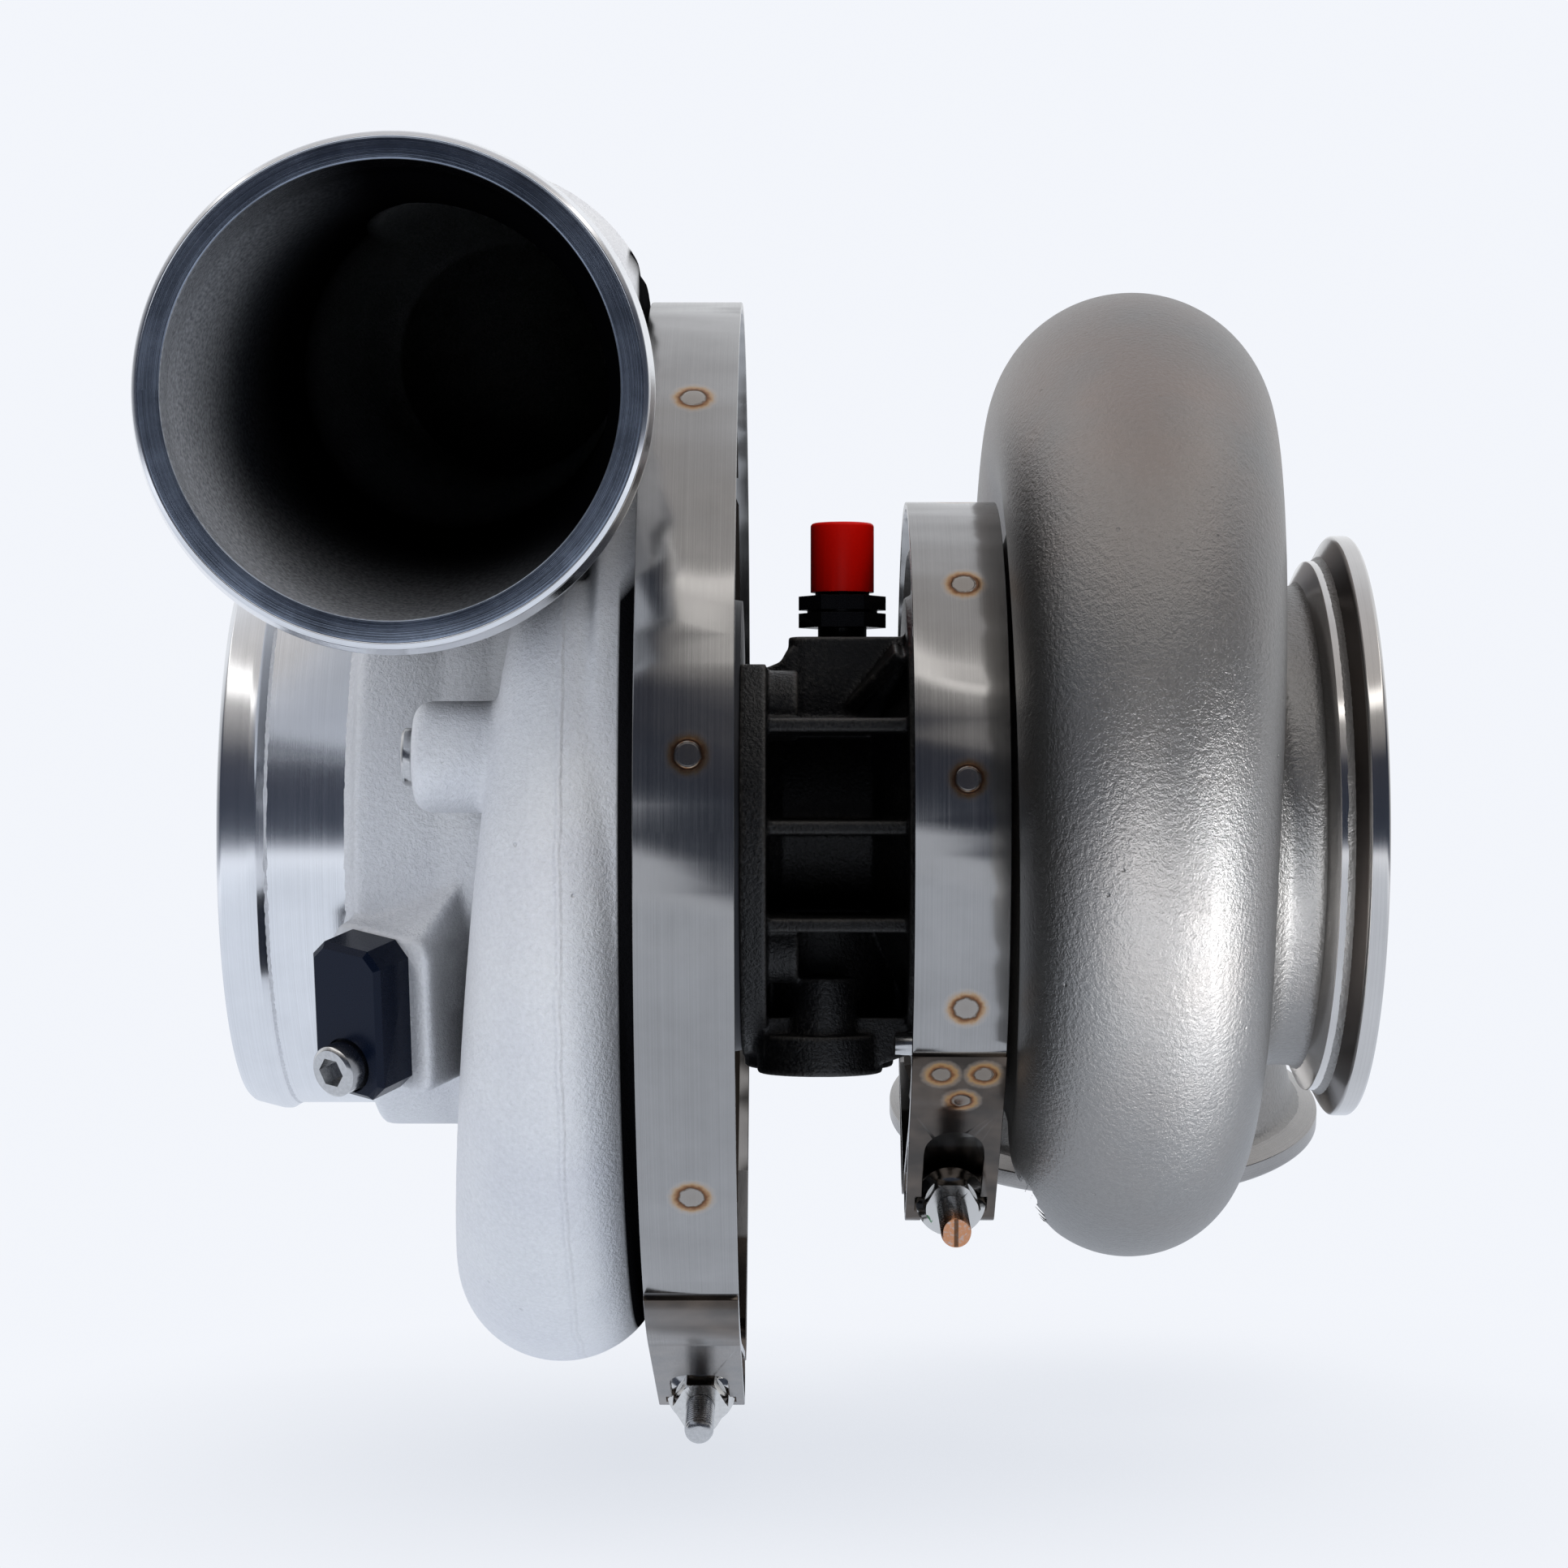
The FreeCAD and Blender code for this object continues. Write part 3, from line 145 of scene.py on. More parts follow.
def lathe(name, outline, matrix, segments=256, closed=True):
    """Turned piece from (along, radius) points in millimetres round the local Z axis."""
    verts, faces = [], []
    rows = len(outline)
    for s in range(segments):
        a = 2 * math.pi * s / segments
        c, d = math.cos(a), math.sin(a)
        for z, r in outline:
            verts.append((r * c * MM, r * d * MM, z * MM))
    for s in range(segments):
        n = (s + 1) % segments
        for i in range(rows if closed else rows - 1):
            j = (i + 1) % rows
            faces.append((s * rows + i, n * rows + i, n * rows + j, s * rows + j))
    return mesh_object(name, verts, faces, matrix)


def threaded_rod(name, radius, pitch, depth, length, dome, matrix, sides=48):
    """Rod with a helical thread that starts at the local origin, runs along Z and ends in a dome."""
    verts, faces = [], []
    step = pitch / 8
    rows = int(length / step) + 1
    for i in range(rows):
        z = min(i * step, length)
        into_dome = max(0.0, z - (length - dome))
        envelope = radius - dome + math.sqrt(max(0.0, dome ** 2 - into_dome ** 2))
        for s in range(sides):
            phase = (z / pitch - s / sides) % 1.0
            cut = depth * (1 - abs(2 * phase - 1) * 1.25)
            r = min(radius - max(0.0, min(depth, cut)), envelope)
            a = 2 * math.pi * s / sides
            verts.append((r * math.cos(a) * MM, r * math.sin(a) * MM, z * MM))
    for i in range(rows - 1):
        for s in range(sides):
            n = (s + 1) % sides
            faces.append((i * sides + s, i * sides + n, (i + 1) * sides + n, (i + 1) * sides + s))
    faces.append(tuple(range(sides - 1, -1, -1)))
    faces.append(tuple((rows - 1) * sides + s for s in range(sides)))
    return mesh_object(name, verts, faces, matrix, 40.0)


BEVEL_ABOVE_DEG = 32.0


def modifier(obj, kind, **settings):
    m = obj.modifiers.new(kind.lower(), kind)
    for key, value in settings.items():
        setattr(m, key, value)


def soften_casting(node, voxel_mm, passes):
    """Gives a cast CAD node rounded edges and filled corners, as sand and investment castings have."""
    obj = NODES[node]
    modifier(obj, "REMESH", mode="VOXEL", voxel_size=voxel_mm * MM, use_smooth_shade=True)
    modifier(obj, "SMOOTH", factor=0.5, iterations=passes)


def break_edges(node, width_mm):
    obj = NODES[node]
    modifier(obj, "WELD", merge_threshold=0.00001)
    modifier(obj, "BEVEL", width=width_mm * MM, segments=2, limit_method="ANGLE",
             angle_limit=math.radians(BEVEL_ABOVE_DEG), harden_normals=True, use_clamp_overlap=True)


# ---------------------------------------------------------------- shader helpers
class Graph:
    def __init__(self, tree):
        self.tree = tree

    def feed(self, socket, value):
        if isinstance(value, bpy.types.NodeSocket):
            self.tree.links.new(value, socket)
        else:
            socket.default_value = value

    def add(self, kind, inputs=None, **settings):
        node = self.tree.nodes.new(kind)
        for key, value in settings.items():
            setattr(node, key, value)
        for key, value in (inputs or {}).items():
            self.feed(node.inputs[key], value)
        return node

    def math(self, operation, a, b=0.0, clamp=False):
        node = self.add("ShaderNodeMath", {0: a, 1: b}, operation=operation, use_clamp=clamp)
        return node.outputs[0]

    def vector(self, operation, a, b=(0, 0, 0)):
        return self.add("ShaderNodeVectorMath", {0: a, 1: b}, operation=operation).outputs

    def scaled(self, a, factor):
        return self.add("ShaderNodeVectorMath", {0: a, "Scale": factor}, operation="SCALE").outputs[0]

    def dot(self, a, b, c, d):
        """a * c + b * d"""
        return self.math("ADD", self.math("MULTIPLY", a, c), self.math("MULTIPLY", b, d))

    def hypot(self, a, b):
        return self.math("SQRT", self.dot(a, b, a, b))

    def join(self, x, y, z):
        return self.add("ShaderNodeCombineXYZ", {0: x, 1: y, 2: z}).outputs[0]

    def split(self, v):
        return self.add("ShaderNodeSeparateXYZ", {0: v}).outputs

    def noise(self, v, scale, detail=4.0, rough=0.5):
        inputs = {"Vector": v, "Scale": scale, "Detail": detail, "Roughness": rough}
        return self.add("ShaderNodeTexNoise", inputs).outputs["Fac"]

    def cells(self, v, scale):
        return self.add("ShaderNodeTexVoronoi", {"Vector": v, "Scale": scale}).outputs["Distance"]

    def occlusion(self, distance):
        """How open the surface is to its own piece's surroundings, from 0 to 1."""
        node = self.add("ShaderNodeAmbientOcclusion", {"Distance": distance}, samples=6, only_local=True)
        return node.outputs["AO"]

    def spread(self, value, low, high, to_low=0.0, to_high=1.0, smooth=False):
        kind = "SMOOTHSTEP" if smooth else "LINEAR"
        inputs = {"Value": value, "From Min": low, "From Max": high, "To Min": to_low, "To Max": to_high}
        return self.add("ShaderNodeMapRange", inputs, interpolation_type=kind).outputs["Result"]

    def ramp(self, value, stops, smooth=False):
        node = self.add("ShaderNodeValToRGB", {"Fac": value})
        band = node.color_ramp
        band.interpolation = "B_SPLINE" if smooth else "LINEAR"
        while len(band.elements) < len(stops):
            band.elements.new(0.5)
        for element, (place, color) in zip(band.elements, stops):
            element.position = place
            element.color = tuple(color) + (1.0,) if len(color) == 3 else color
        return node.outputs["Color"]

    def mix(self, factor, a, b, blend="MIX"):
        node = self.add("ShaderNodeMix", None, data_type="RGBA", blend_type=blend)
        self.feed(node.inputs[0], factor)
        self.feed(node.inputs[6], tuple(a) + (1.0,) if isinstance(a, tuple) and len(a) == 3 else a)
        self.feed(node.inputs[7], tuple(b) + (1.0,) if isinstance(b, tuple) and len(b) == 3 else b)
        return node.outputs[2]

    def bump(self, height, strength, distance_mm, normal=None):
        inputs = {"Height": height, "Strength": strength, "Distance": distance_mm * MM}
        if normal is not None:
            inputs["Normal"] = normal
        return self.add("ShaderNodeBump", inputs).outputs["Normal"]


class Material(Graph):
    """A principled material whose coordinates are millimetres in the piece's own frame."""

    def __init__(self, name, **inputs):
        self.mat = bpy.data.materials.new(name)
        self.mat.use_nodes = True
        super().__init__(self.mat.node_tree)
        self.tree.nodes.clear()
        self.bsdf = self.add("ShaderNodeBsdfPrincipled", inputs)
        out = self.add("ShaderNodeOutputMaterial")
        self.tree.links.new(self.bsdf.outputs[0], out.inputs[0])
        coords = self.add("ShaderNodeTexCoord").outputs["Object"]
        self.p = self.scaled(coords, 1000.0)

    def set(self, **inputs):
        for key, value in inputs.items():
            self.feed(self.bsdf.inputs[key.replace("_", " ")], value)
        return self

    def polar(self, axis):
        """(along, radius, angle, tangent) about the local axis X, Y or Z."""
        x, y, z = self.split(self.p)
        if axis == "X":
            u, v, w = y, z, x
            tangent = self.join(0.0, self.math("MULTIPLY", v, -1.0), u)
        else:
            u, v, w = x, y, z
            tangent = self.join(self.math("MULTIPLY", v, -1.0), u, 0.0)
        radius = self.hypot(u, v)
        angle = self.math("ARCTAN2", v, u)
        world = self.add("ShaderNodeVectorTransform", {0: tangent}, vector_type="VECTOR",
                         convert_from="OBJECT", convert_to="WORLD").outputs[0]
        return w, radius, angle, self.vector("NORMALIZE", world)[0]

    def distance_to(self, centre):
        return self.vector("DISTANCE", self.p, tuple(centre))["Value"]


def turned_metal(name, color, rough, axis="Z", groove=0.10, anisotropy=0.6, stain=0.06):
    """Lathe-turned metal with fine concentric tool marks and faint smudges."""
    m = Material(name, Metallic=1.0)
    w, r, a, tangent = m.polar(axis)
    rings = m.join(m.math("MULTIPLY", w, 9.0), m.math("MULTIPLY", r, 9.0), m.math("MULTIPLY", a, 0.35))
    fine = m.noise(rings, 1.0, 3.0, 0.6)
    smudge = m.noise(m.p, 0.05, 5.0, 0.6)
    tone = m.math("ADD", m.spread(smudge, 0.3, 0.7, -stain, stain), m.spread(fine, 0.3, 0.7, -stain, stain))
    bright = m.add("ShaderNodeHueSaturation", {"Color": tuple(color) + (1.0,),
                                               "Value": m.math("ADD", tone, 1.0)}).outputs[0]
    uneven = m.spread(m.math("ADD", fine, smudge), 0.6, 1.4, rough * 0.8, rough * 1.25)
    m.base = bright
    m.set(Base_Color=bright, Roughness=uneven,
          Anisotropic=anisotropy, Tangent=tangent, Normal=m.bump(fine, groove, 0.05))
    return m


def cast_metal(name, color, rough, grain_mm, strength, warm=(1, 1, 1), metallic=1.0):
    """Blasted casting: overlapping pebbles, finer grain among them, broad unevenness and a few tiny pits."""
    m = Material(name, Metallic=metallic)
    pebble = m.noise(m.p, 1.0 / grain_mm, 3.0, 0.6)
    fine = m.noise(m.p, 3.2 / grain_mm, 2.0, 0.5)
    broad = m.noise(m.p, 0.045, 4.0, 0.5)
    pit = m.spread(m.cells(m.p, 0.12), 0.02, 0.06, 1.0, 0.0, True)
    m.height = m.math("ADD", pebble, m.math("MULTIPLY", fine, 0.4))
    m.height = m.math("SUBTRACT", m.height, m.math("MULTIPLY", pit, 0.8))
    base = m.mix(m.spread(broad, 0.35, 0.7), color, tuple(c * w for c, w in zip(color, warm)))
    darker = m.mix(0.5, base, (0.0, 0.0, 0.0))
    m.base = m.mix(m.spread(m.height, 0.40, 0.95, 0.30, 0.0), base, darker)
    m.strength = strength
    m.set(Base_Color=m.base, Roughness=m.spread(fine, 0.2, 0.8, rough * 0.85, rough * 1.15),
          Normal=m.bump(m.height, strength, 0.30))
    return m


def plain_metal(name, color, rough, groove=0.05):
    """Ground or rolled metal for pieces mostly out of sight."""
    m = Material(name, Metallic=1.0)
    grain = m.noise(m.p, 1.3, 4.0, 0.6)
    m.set(Base_Color=m.mix(m.spread(grain, 0.3, 0.7, 0.0, 1.0), tuple(c * 0.85 for c in color), color),
          Roughness=m.spread(grain, 0.2, 0.8, rough * 0.8, rough * 1.3), Normal=m.bump(grain, groove, 0.1))
    return m


# ---------------------------------------------------------------- materials
# distances along the shaft back from the compressor clamp's middle, in mm
PARTING_RIDGE_BACK_FROM_CLAMP = 22.7
PAINTED_SHADOW_BACK_FROM_CLAMP = (12.5, 12.0)
PARTING_RIDGE_FROM_R = (66.0, 72.0)
DISCHARGE_BORE_R = 39.5
DUCT_OUTER_R = 48.0
DUCT_END_Y = -55.0
BORE_LOOK_Y = (-50.0, -20.0)
PASSAGE_DEPTH = 0.2
LIT_SIDE_OF_BORE = Vector((-0.85, 0.0, -0.53))
# near-black painted shade for the inside of the discharge bore
PAINTED_BORE_SHADOW = (0.0012, 0.0012, 0.0015)


def painted_bore_shading(m, towards, off, depth):
    """Painted light and shade for a rough-cast bore: grey near the mouth on the side the light reaches, and
    near-black painted shade everywhere else.
    """
    side = m.spread(m.math("DIVIDE", towards, m.math("MAXIMUM", off, 5.0)), -0.45, 0.9, 0.0, 1.0, True)
    lit = m.math("MULTIPLY", side, m.spread(depth, 2.0, 66.0, 1.0, 0.0, True))
    grey = m.mix(m.spread(m.noise(m.p, 1.4, 3.0), 0.3, 0.7), (0.130, 0.138, 0.155), (0.29, 0.305, 0.335))
    return m.mix(lit, PAINTED_BORE_SHADOW, grey)


def parting_ridge(m, x, from_shaft):
    """The slightly wandering ridge where the two halves of the mould met."""
    wander = m.spread(m.noise(m.p, 0.08, 2.0), 0.2, 0.8, -0.5, 0.5)
    ridge_x = clamp_place("compressor")[0] - PARTING_RIDGE_BACK_FROM_CLAMP
    beside = m.math("ABSOLUTE", m.math("ADD", m.math("SUBTRACT", x, ridge_x), wander))
    line = m.spread(beside, 0.1, 0.9, 1.0, 0.0, True)
    return m.math("MULTIPLY", line, m.spread(from_shaft, *PARTING_RIDGE_FROM_R))


def painted_shadow_by_clamp(m, x, y, off):
    """Mask for the painted shadow on the scroll's back face beside the clamp, leaving out the discharge
    duct.
    """
    beyond_duct = m.math("MAXIMUM", m.spread(off, DUCT_OUTER_R, DUCT_OUTER_R + 3.0),
                         m.spread(y, DUCT_END_Y, DUCT_END_Y + 15.0))
    edges = [clamp_place("compressor")[0] - back for back in PAINTED_SHADOW_BACK_FROM_CLAMP]
    return m.math("MULTIPLY", beyond_duct, m.spread(x, *edges))


def inside_duct(m, dx, y, dz, off):
    """The part of the discharge duct's wall that faces the duct's own axis."""
    world_normal = m.add("ShaderNodeNewGeometry").outputs["Normal"]
    normal = m.split(m.add("ShaderNodeVectorTransform", {0: world_normal}, vector_type="NORMAL",
                           convert_from="WORLD", convert_to="OBJECT").outputs[0])
    outward = m.math("DIVIDE", m.dot(normal[0], normal[2], dx, dz), m.math("MAXIMUM", off, 5.0))
    faces_axis = m.spread(outward, -0.25, -0.05, 1.0, 0.0)
    inside = m.math("MULTIPLY", m.spread(y, *BORE_LOOK_Y, 1.0, 0.0), faces_axis)
    within = m.spread(off, DISCHARGE_BORE_R + 0.5, DISCHARGE_BORE_R + 1.5, 1.0, 0.0)
    return m.math("MULTIPLY", inside, within)


def cast_aluminium():
    """Sand-cast skin with a parting ridge, a painted shadow beside the clamp, painted shade inside the
    passages, and painted light and shade in the discharge bore.
    """
    m = cast_metal("cast_aluminium", (0.80, 0.81, 0.83), 0.50, 0.85, 1.0, (0.94, 0.94, 0.96), 0.35)
    x, y, z = m.split(m.p)
    height = m.math("ADD", m.height, m.math("MULTIPLY", parting_ridge(m, x, m.hypot(y, z)), 0.9))
    dx, dz = m.math("SUBTRACT", x, DISCHARGE_FACE.x), m.math("SUBTRACT", z, DISCHARGE_FACE.z)
    off = m.hypot(dx, dz)
    clamp_gap_shadow = painted_shadow_by_clamp(m, x, y, off)
    inside = inside_duct(m, dx, y, dz, off)
    # painted shade: the colour goes near black and loses its sheen inside the passages, where the casting's
    # own surfaces close in round it
    painted_passage_shade = m.spread(m.occlusion(PASSAGE_DEPTH), 0.12, 0.24, 1.0, 0.0)
    # painted shadow: near black beside the clamp, where the scroll's back face lies in shade
    base = m.mix(clamp_gap_shadow, m.base, (0.006, 0.006, 0.007))
    base = m.mix(painted_passage_shade, base, (0.002, 0.002, 0.002))
    # painted light and shade in the discharge bore, on the duct's inner wall
    towards = m.dot(dx, dz, LIT_SIDE_OF_BORE.x, LIT_SIDE_OF_BORE.z)
    bore = painted_bore_shading(m, towards, off, m.math("SUBTRACT", y, DISCHARGE_FACE.y))
    clear = m.math("SUBTRACT", 1.0, m.math("MAXIMUM", m.math("MAXIMUM", inside, clamp_gap_shadow), painted_passage_shade))
    m.set(Base_Color=m.mix(inside, base, bore), Metallic=m.math("MULTIPLY", clear, 0.35),
          Specular_IOR_Level=m.math("MULTIPLY", clear, 0.5), Normal=m.bump(height, m.strength, 0.30))
    return m


def discharge_face_metal():
    """Faced end with coarse tool marks; its inner rim carries on the painted light and shade of the bore."""
    m = turned_metal("discharge_face_metal", (0.26, 0.30, 0.37), 0.26, groove=0.55, stain=0.42)
    x, y, z = m.split(m.p)
    lit_side = along(DISCHARGE_FACE, DISCHARGE_AXIS).to_3x3().inverted() @ LIT_SIDE_OF_BORE
    off = m.hypot(x, y)
    towards = m.dot(x, y, lit_side.x, lit_side.y)
    inner = m.spread(off, DISCHARGE_BORE_R + 0.02, DISCHARGE_BORE_R + 0.12, 1.0, 0.0)
    bore = painted_bore_shading(m, towards, off, m.math("MULTIPLY", z, -1.0))
    return m.set(Base_Color=m.mix(inner, m.base, bore), Metallic=m.math("SUBTRACT", 1.0, inner))


def cast_stainless():
    """Investment-cast skin, straw-coloured near the top from heat tint together with a painted warm
    highlight, and with painted shade where it turns away from the view.
    """
    m = cast_metal("cast_stainless", (0.285, 0.282, 0.278), 0.36, 0.90, 0.70, (1.02, 0.99, 0.97))
    height_mm = m.split(m.p)[2]
    patches = m.spread(m.noise(m.p, 0.03), 0.3, 0.6)
    # partly real heat tint and partly a painted warm highlight towards the top
    heat_tint_and_top_highlight = m.math("MULTIPLY", m.spread(height_mm, 30.0, 85.0, 0.0, 0.55, True), patches)
    m.base = m.mix(heat_tint_and_top_highlight, m.base, (0.33, 0.265, 0.235))
    # painted shade: darker where the surface turns away from the view
    painted_edge_shade = m.add("ShaderNodeLayerWeight", {"Blend": 0.35}).outputs["Facing"]
    m.base = m.mix(m.spread(painted_edge_shade, 0.35, 0.95, 0.0, 0.55), m.base, (0.05, 0.048, 0.046))
    return m.set(Base_Color=m.base)


def black_iron():
    """Matte black casting whose raised edges are rubbed back to dark grey."""
    m = Material("black_iron", Metallic=0.0)
    grain = m.noise(m.p, 1.5, 3.0, 0.6)
    broad = m.noise(m.p, 0.12, 4.0, 0.6)
    raised = m.spread(m.add("ShaderNodeNewGeometry").outputs["Pointiness"], 0.51, 0.58)
    worn = m.math("MULTIPLY", m.spread(grain, 0.45, 0.7), m.spread(broad, 0.35, 0.6))
    worn = m.math("ADD", m.math("MULTIPLY", worn, 0.35), raised, True)
    m.set(Base_Color=m.mix(worn, (0.0022, 0.0022, 0.0026), (0.070, 0.066, 0.062)),
          Roughness=m.spread(grain, 0.3, 0.7, 0.28, 0.48), Normal=m.bump(grain, 0.80, 0.40))
    return m


def black_anodised(name, low, high):
    m = Material(name, Metallic=0.35)
    grain = m.noise(m.p, 6.0, 2.0)
    m.set(Base_Color=m.mix(grain, low, high),
          Roughness=m.spread(grain, 0.3, 0.7, 0.22, 0.34), Specular_IOR_Level=0.25,
          Normal=m.bump(grain, 0.08, 0.05))
    return m


def red_plastic():
    m = Material("red_plastic", Metallic=0.0)
    grain = m.noise(m.p, 2.5, 3.0)
    m.set(Base_Color=m.mix(grain, (0.60, 0.001, 0.0), (0.72, 0.006, 0.001)),
          Roughness=m.spread(grain, 0.3, 0.7, 0.38, 0.50), Normal=m.bump(grain, 0.06, 0.1))
    m.set(Specular_IOR_Level=0.15, Subsurface_Weight=0.05)
    return m


def seal_rubber():
    m = Material("seal_rubber", Metallic=0.0)
    grain = m.noise(m.p, 4.0, 3.0)
    m.set(Base_Color=m.mix(grain, (0.008, 0.008, 0.008), (0.02, 0.02, 0.02)), Roughness=0.6,
          Normal=m.bump(grain, 0.1, 0.1))
    return m


HEAT_STRAW = (0.50, 0.30, 0.13)
HEAT_BROWN = (0.20, 0.085, 0.035)
# where the welds sit round each strap, in degrees above the near side, and how far off its middle in mm
WELDS = {"compressor": ((-39.1, 7.4, 49.1, 93.0, 137.0, 181.0, 225.0), 0.8),
         "turbine": ((-31.1, 8.2, 45.3, 84.0, 122.0, 160.0, 198.0, 236.0), 1.0)}
# the welds that hold the turbine strap's lap: offset along the shaft in mm, angle above the near side
LAP_WELDS = ((-3.4, -44.5), (4.8, -44.5), (0.7, -51.5))
LAP_LIFT = 1.4
FAR_FROM_WELD = 20.0
# the ramps round a weld run from its middle to this distance, in mm
WELD_REACH = 6.0
SLOT_SHADE_REACH = 0.006
# from the turbine nut's middle to the dab of paint on it, and the dab's radius, in mm
PAINT_FROM_NUT = Vector((-5.0, -3.5, -3.0))
PAINT_R = 2.3


def weld_spot(side, radius, dx, turn_deg):
    turn = math.radians(turn_deg)
    return Vector((clamp_place(side)[0] + dx, -radius * math.cos(turn), radius * math.sin(turn)))


def nearest_weld(m, side, outer, on_lap):
    turns, dx = WELDS[side]
    near = FAR_FROM_WELD
    for turn_deg in turns:
        near = m.math("MINIMUM", near, m.distance_to(weld_spot(side, outer, dx, turn_deg)))
    near = m.math("ADD", near, m.math("MULTIPLY", on_lap, FAR_FROM_WELD))
    if side == "turbine":
        for dx, turn_deg in LAP_WELDS:
            away = m.distance_to(weld_spot(side, outer + LAP_LIFT, dx, turn_deg))
            near = m.math("MINIMUM", near, m.math("ADD", away, 0.5))
    return near


def clamp_band(side):
    """Rolled stainless strap with resistance-weld dimples, each in a ring of heat tint."""
    m = Material(side + "_clamp_strap", Metallic=1.0)
    outer = clamp_place(side)[1]
    w, r, a, tangent = m.polar("X")
    streaks = m.join(m.math("MULTIPLY", w, 7.0), m.math("MULTIPLY", r, 3.0), m.math("MULTIPLY", a, 1.1))
    lines = m.noise(streaks, 1.0, 4.0, 0.65)
    smudge = m.noise(m.p, 0.055, 4.0, 0.6)
    steel = m.mix(m.spread(m.math("ADD", lines, smudge), 0.7, 1.3), (0.31, 0.305, 0.30), (0.39, 0.385, 0.38))
    on_lap = m.spread(r, outer + 0.25, outer + 0.5)
    weld = nearest_weld(m, side, outer, on_lap)
    ragged = m.math("ADD", weld, m.spread(m.noise(m.p, 0.9, 2.0), 0.3, 0.7, -0.18, 0.18))
    tint = m.ramp(m.spread(ragged, 0.0, WELD_REACH), [
        (0.0, (0.30, 0.26, 0.22)), (0.34, (0.33, 0.29, 0.25)), (0.40, (0.10, 0.06, 0.035)),
        (0.46, HEAT_BROWN), (0.58, HEAT_STRAW), (0.80, (0.6, 0.55, 0.5))])
    amount = m.ramp(m.spread(ragged, 0.0, WELD_REACH), [
        (0.0, (0.6,) * 3), (0.34, (0.6,) * 3), (0.42, (1,) * 3), (0.52, (0.85,) * 3), (0.64, (0.35,) * 3),
        (0.80, (0, 0, 0))])
    patches = m.spread(m.noise(m.p, 0.10, 3.0), 0.35, 0.7)
    folded_tone = m.mix(patches, (0.030, 0.022, 0.016), (0.105, 0.078, 0.058))
    base = m.mix(m.math("MULTIPLY", on_lap, 0.92), steel, folded_tone)
    dish = m.ramp(m.spread(weld, 0.0, WELD_REACH), [
        (0.0, (0.45,) * 3), (0.33, (0.45,) * 3), (0.37, (0.0,) * 3), (0.42, (1.0,) * 3), (0.50, (0.6,) * 3),
        (0.60, (0.6,) * 3)], smooth=True)
    shade = m.spread(m.occlusion(SLOT_SHADE_REACH), 0.10, 0.50, 1.0, 0.0)
    base = m.mix(shade, m.mix(amount, base, tint), (0.004, 0.004, 0.004))
    normal = m.bump(lines, 0.035, 0.06, m.bump(dish, 0.5, 0.35))
    m.set(Base_Color=base, Roughness=m.spread(lines, 0.3, 0.7, 0.17, 0.25),
          Anisotropic=0.2, Tangent=tangent, Normal=normal)
    return m


def flange_metal_dark_slope():
    """Turned stainless whose V slope and undercut are coloured dark brown."""
    m = turned_metal("turned_stainless", (0.60, 0.585, 0.57), 0.11)
    z = m.split(m.p)[2]
    slope = m.math("MULTIPLY", m.spread(z, -6.9, -6.4), m.spread(z, -4.1, -3.6, 1.0, 0.0))
    return m.set(Base_Color=m.mix(m.math("MULTIPLY", slope, 0.9), m.base, (0.030, 0.018, 0.012)))


def bright_nut(side):
    return plain_metal(side + "_nut_metal", (0.74, 0.73, 0.71), 0.13)


def painted_nut(side):
    """Bright plated nut with a dab of green paint on its lower left flank, left when it was torqued."""
    m = bright_nut(side)
    middle = mean([v.co * 1000 for v in NODES[side + "_clamp_nut"].data.vertices])
    away = m.math("ADD", m.distance_to(middle + PAINT_FROM_NUT), m.spread(m.noise(m.p, 0.8), 0.3, 0.7))
    dab = m.spread(away, PAINT_R, PAINT_R + 0.2, 1.0, 0.0)
    m.set(Base_Color=m.mix(dab, (0.62, 0.61, 0.59), (0.02, 0.26, 0.06)),
          Metallic=m.math("SUBTRACT", 1.0, dab))
    return m


# ---------------------------------------------------------------- pieces
def dress(obj, material, body=None, replaces=()):
    obj.data.materials.clear()
    obj.data.materials.append(material.mat)
    if body:
        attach(obj, body)
    if replaces:
        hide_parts(*replaces)
    return obj


def inlet_turned_end(material):
    """Turned hose end and bell mouth over the casting's inlet; along runs out of the mouth."""
    lip = rounded([(-26.2, 58.0), (-25.6, 56.62), (-9.4, 56.62), (-7.6, 57.72), (-6.2, 57.72), (-0.9, 56.35),
                   (0.06, 55.5), (0.06, 54.2), (-1.2, 52.0), (-3.8, 50.4), (-18.0, 50.4), (-23.0, 48.6),
                   (-29.0, 43.8), (-29.5, 45.5), (-24.0, 51.5), (-18.0, 53.0), (-26.2, 55.0)], 0.3)
    obj = lathe("compressor_inlet_turned_end", lip, along(INLET_FACE, INLET_AXIS))
    return dress(obj, material, "compressor_cover")


def discharge_turned_end(face_material, rim_material):
    face = rounded([(0.07, 39.7), (0.07, 43.35), (-2.0, 43.35), (-8.0, 42.0), (-8.0, 39.44), (-0.2, 39.44)],
                   0.25)
    obj = lathe("compressor_discharge_face", face, along(DISCHARGE_FACE, DISCHARGE_AXIS))
    dress(obj, face_material, "compressor_cover")
    rim = rounded([(-0.15, 43.3), (0.04, 43.6), (-0.75, 44.5), (-1.6, 44.5), (-5.0, 45.3), (-6.0, 45.3),
                   (-7.6, 43.72), (-22.6, 43.72), (-24.2, 42.6), (-20.0, 42.2), (-2.0, 42.2)], 0.3)
    obj = lathe("compressor_discharge_hose_end", rim, along(DISCHARGE_FACE, DISCHARGE_AXIS))
    dress(obj, rim_material, "compressor_cover")


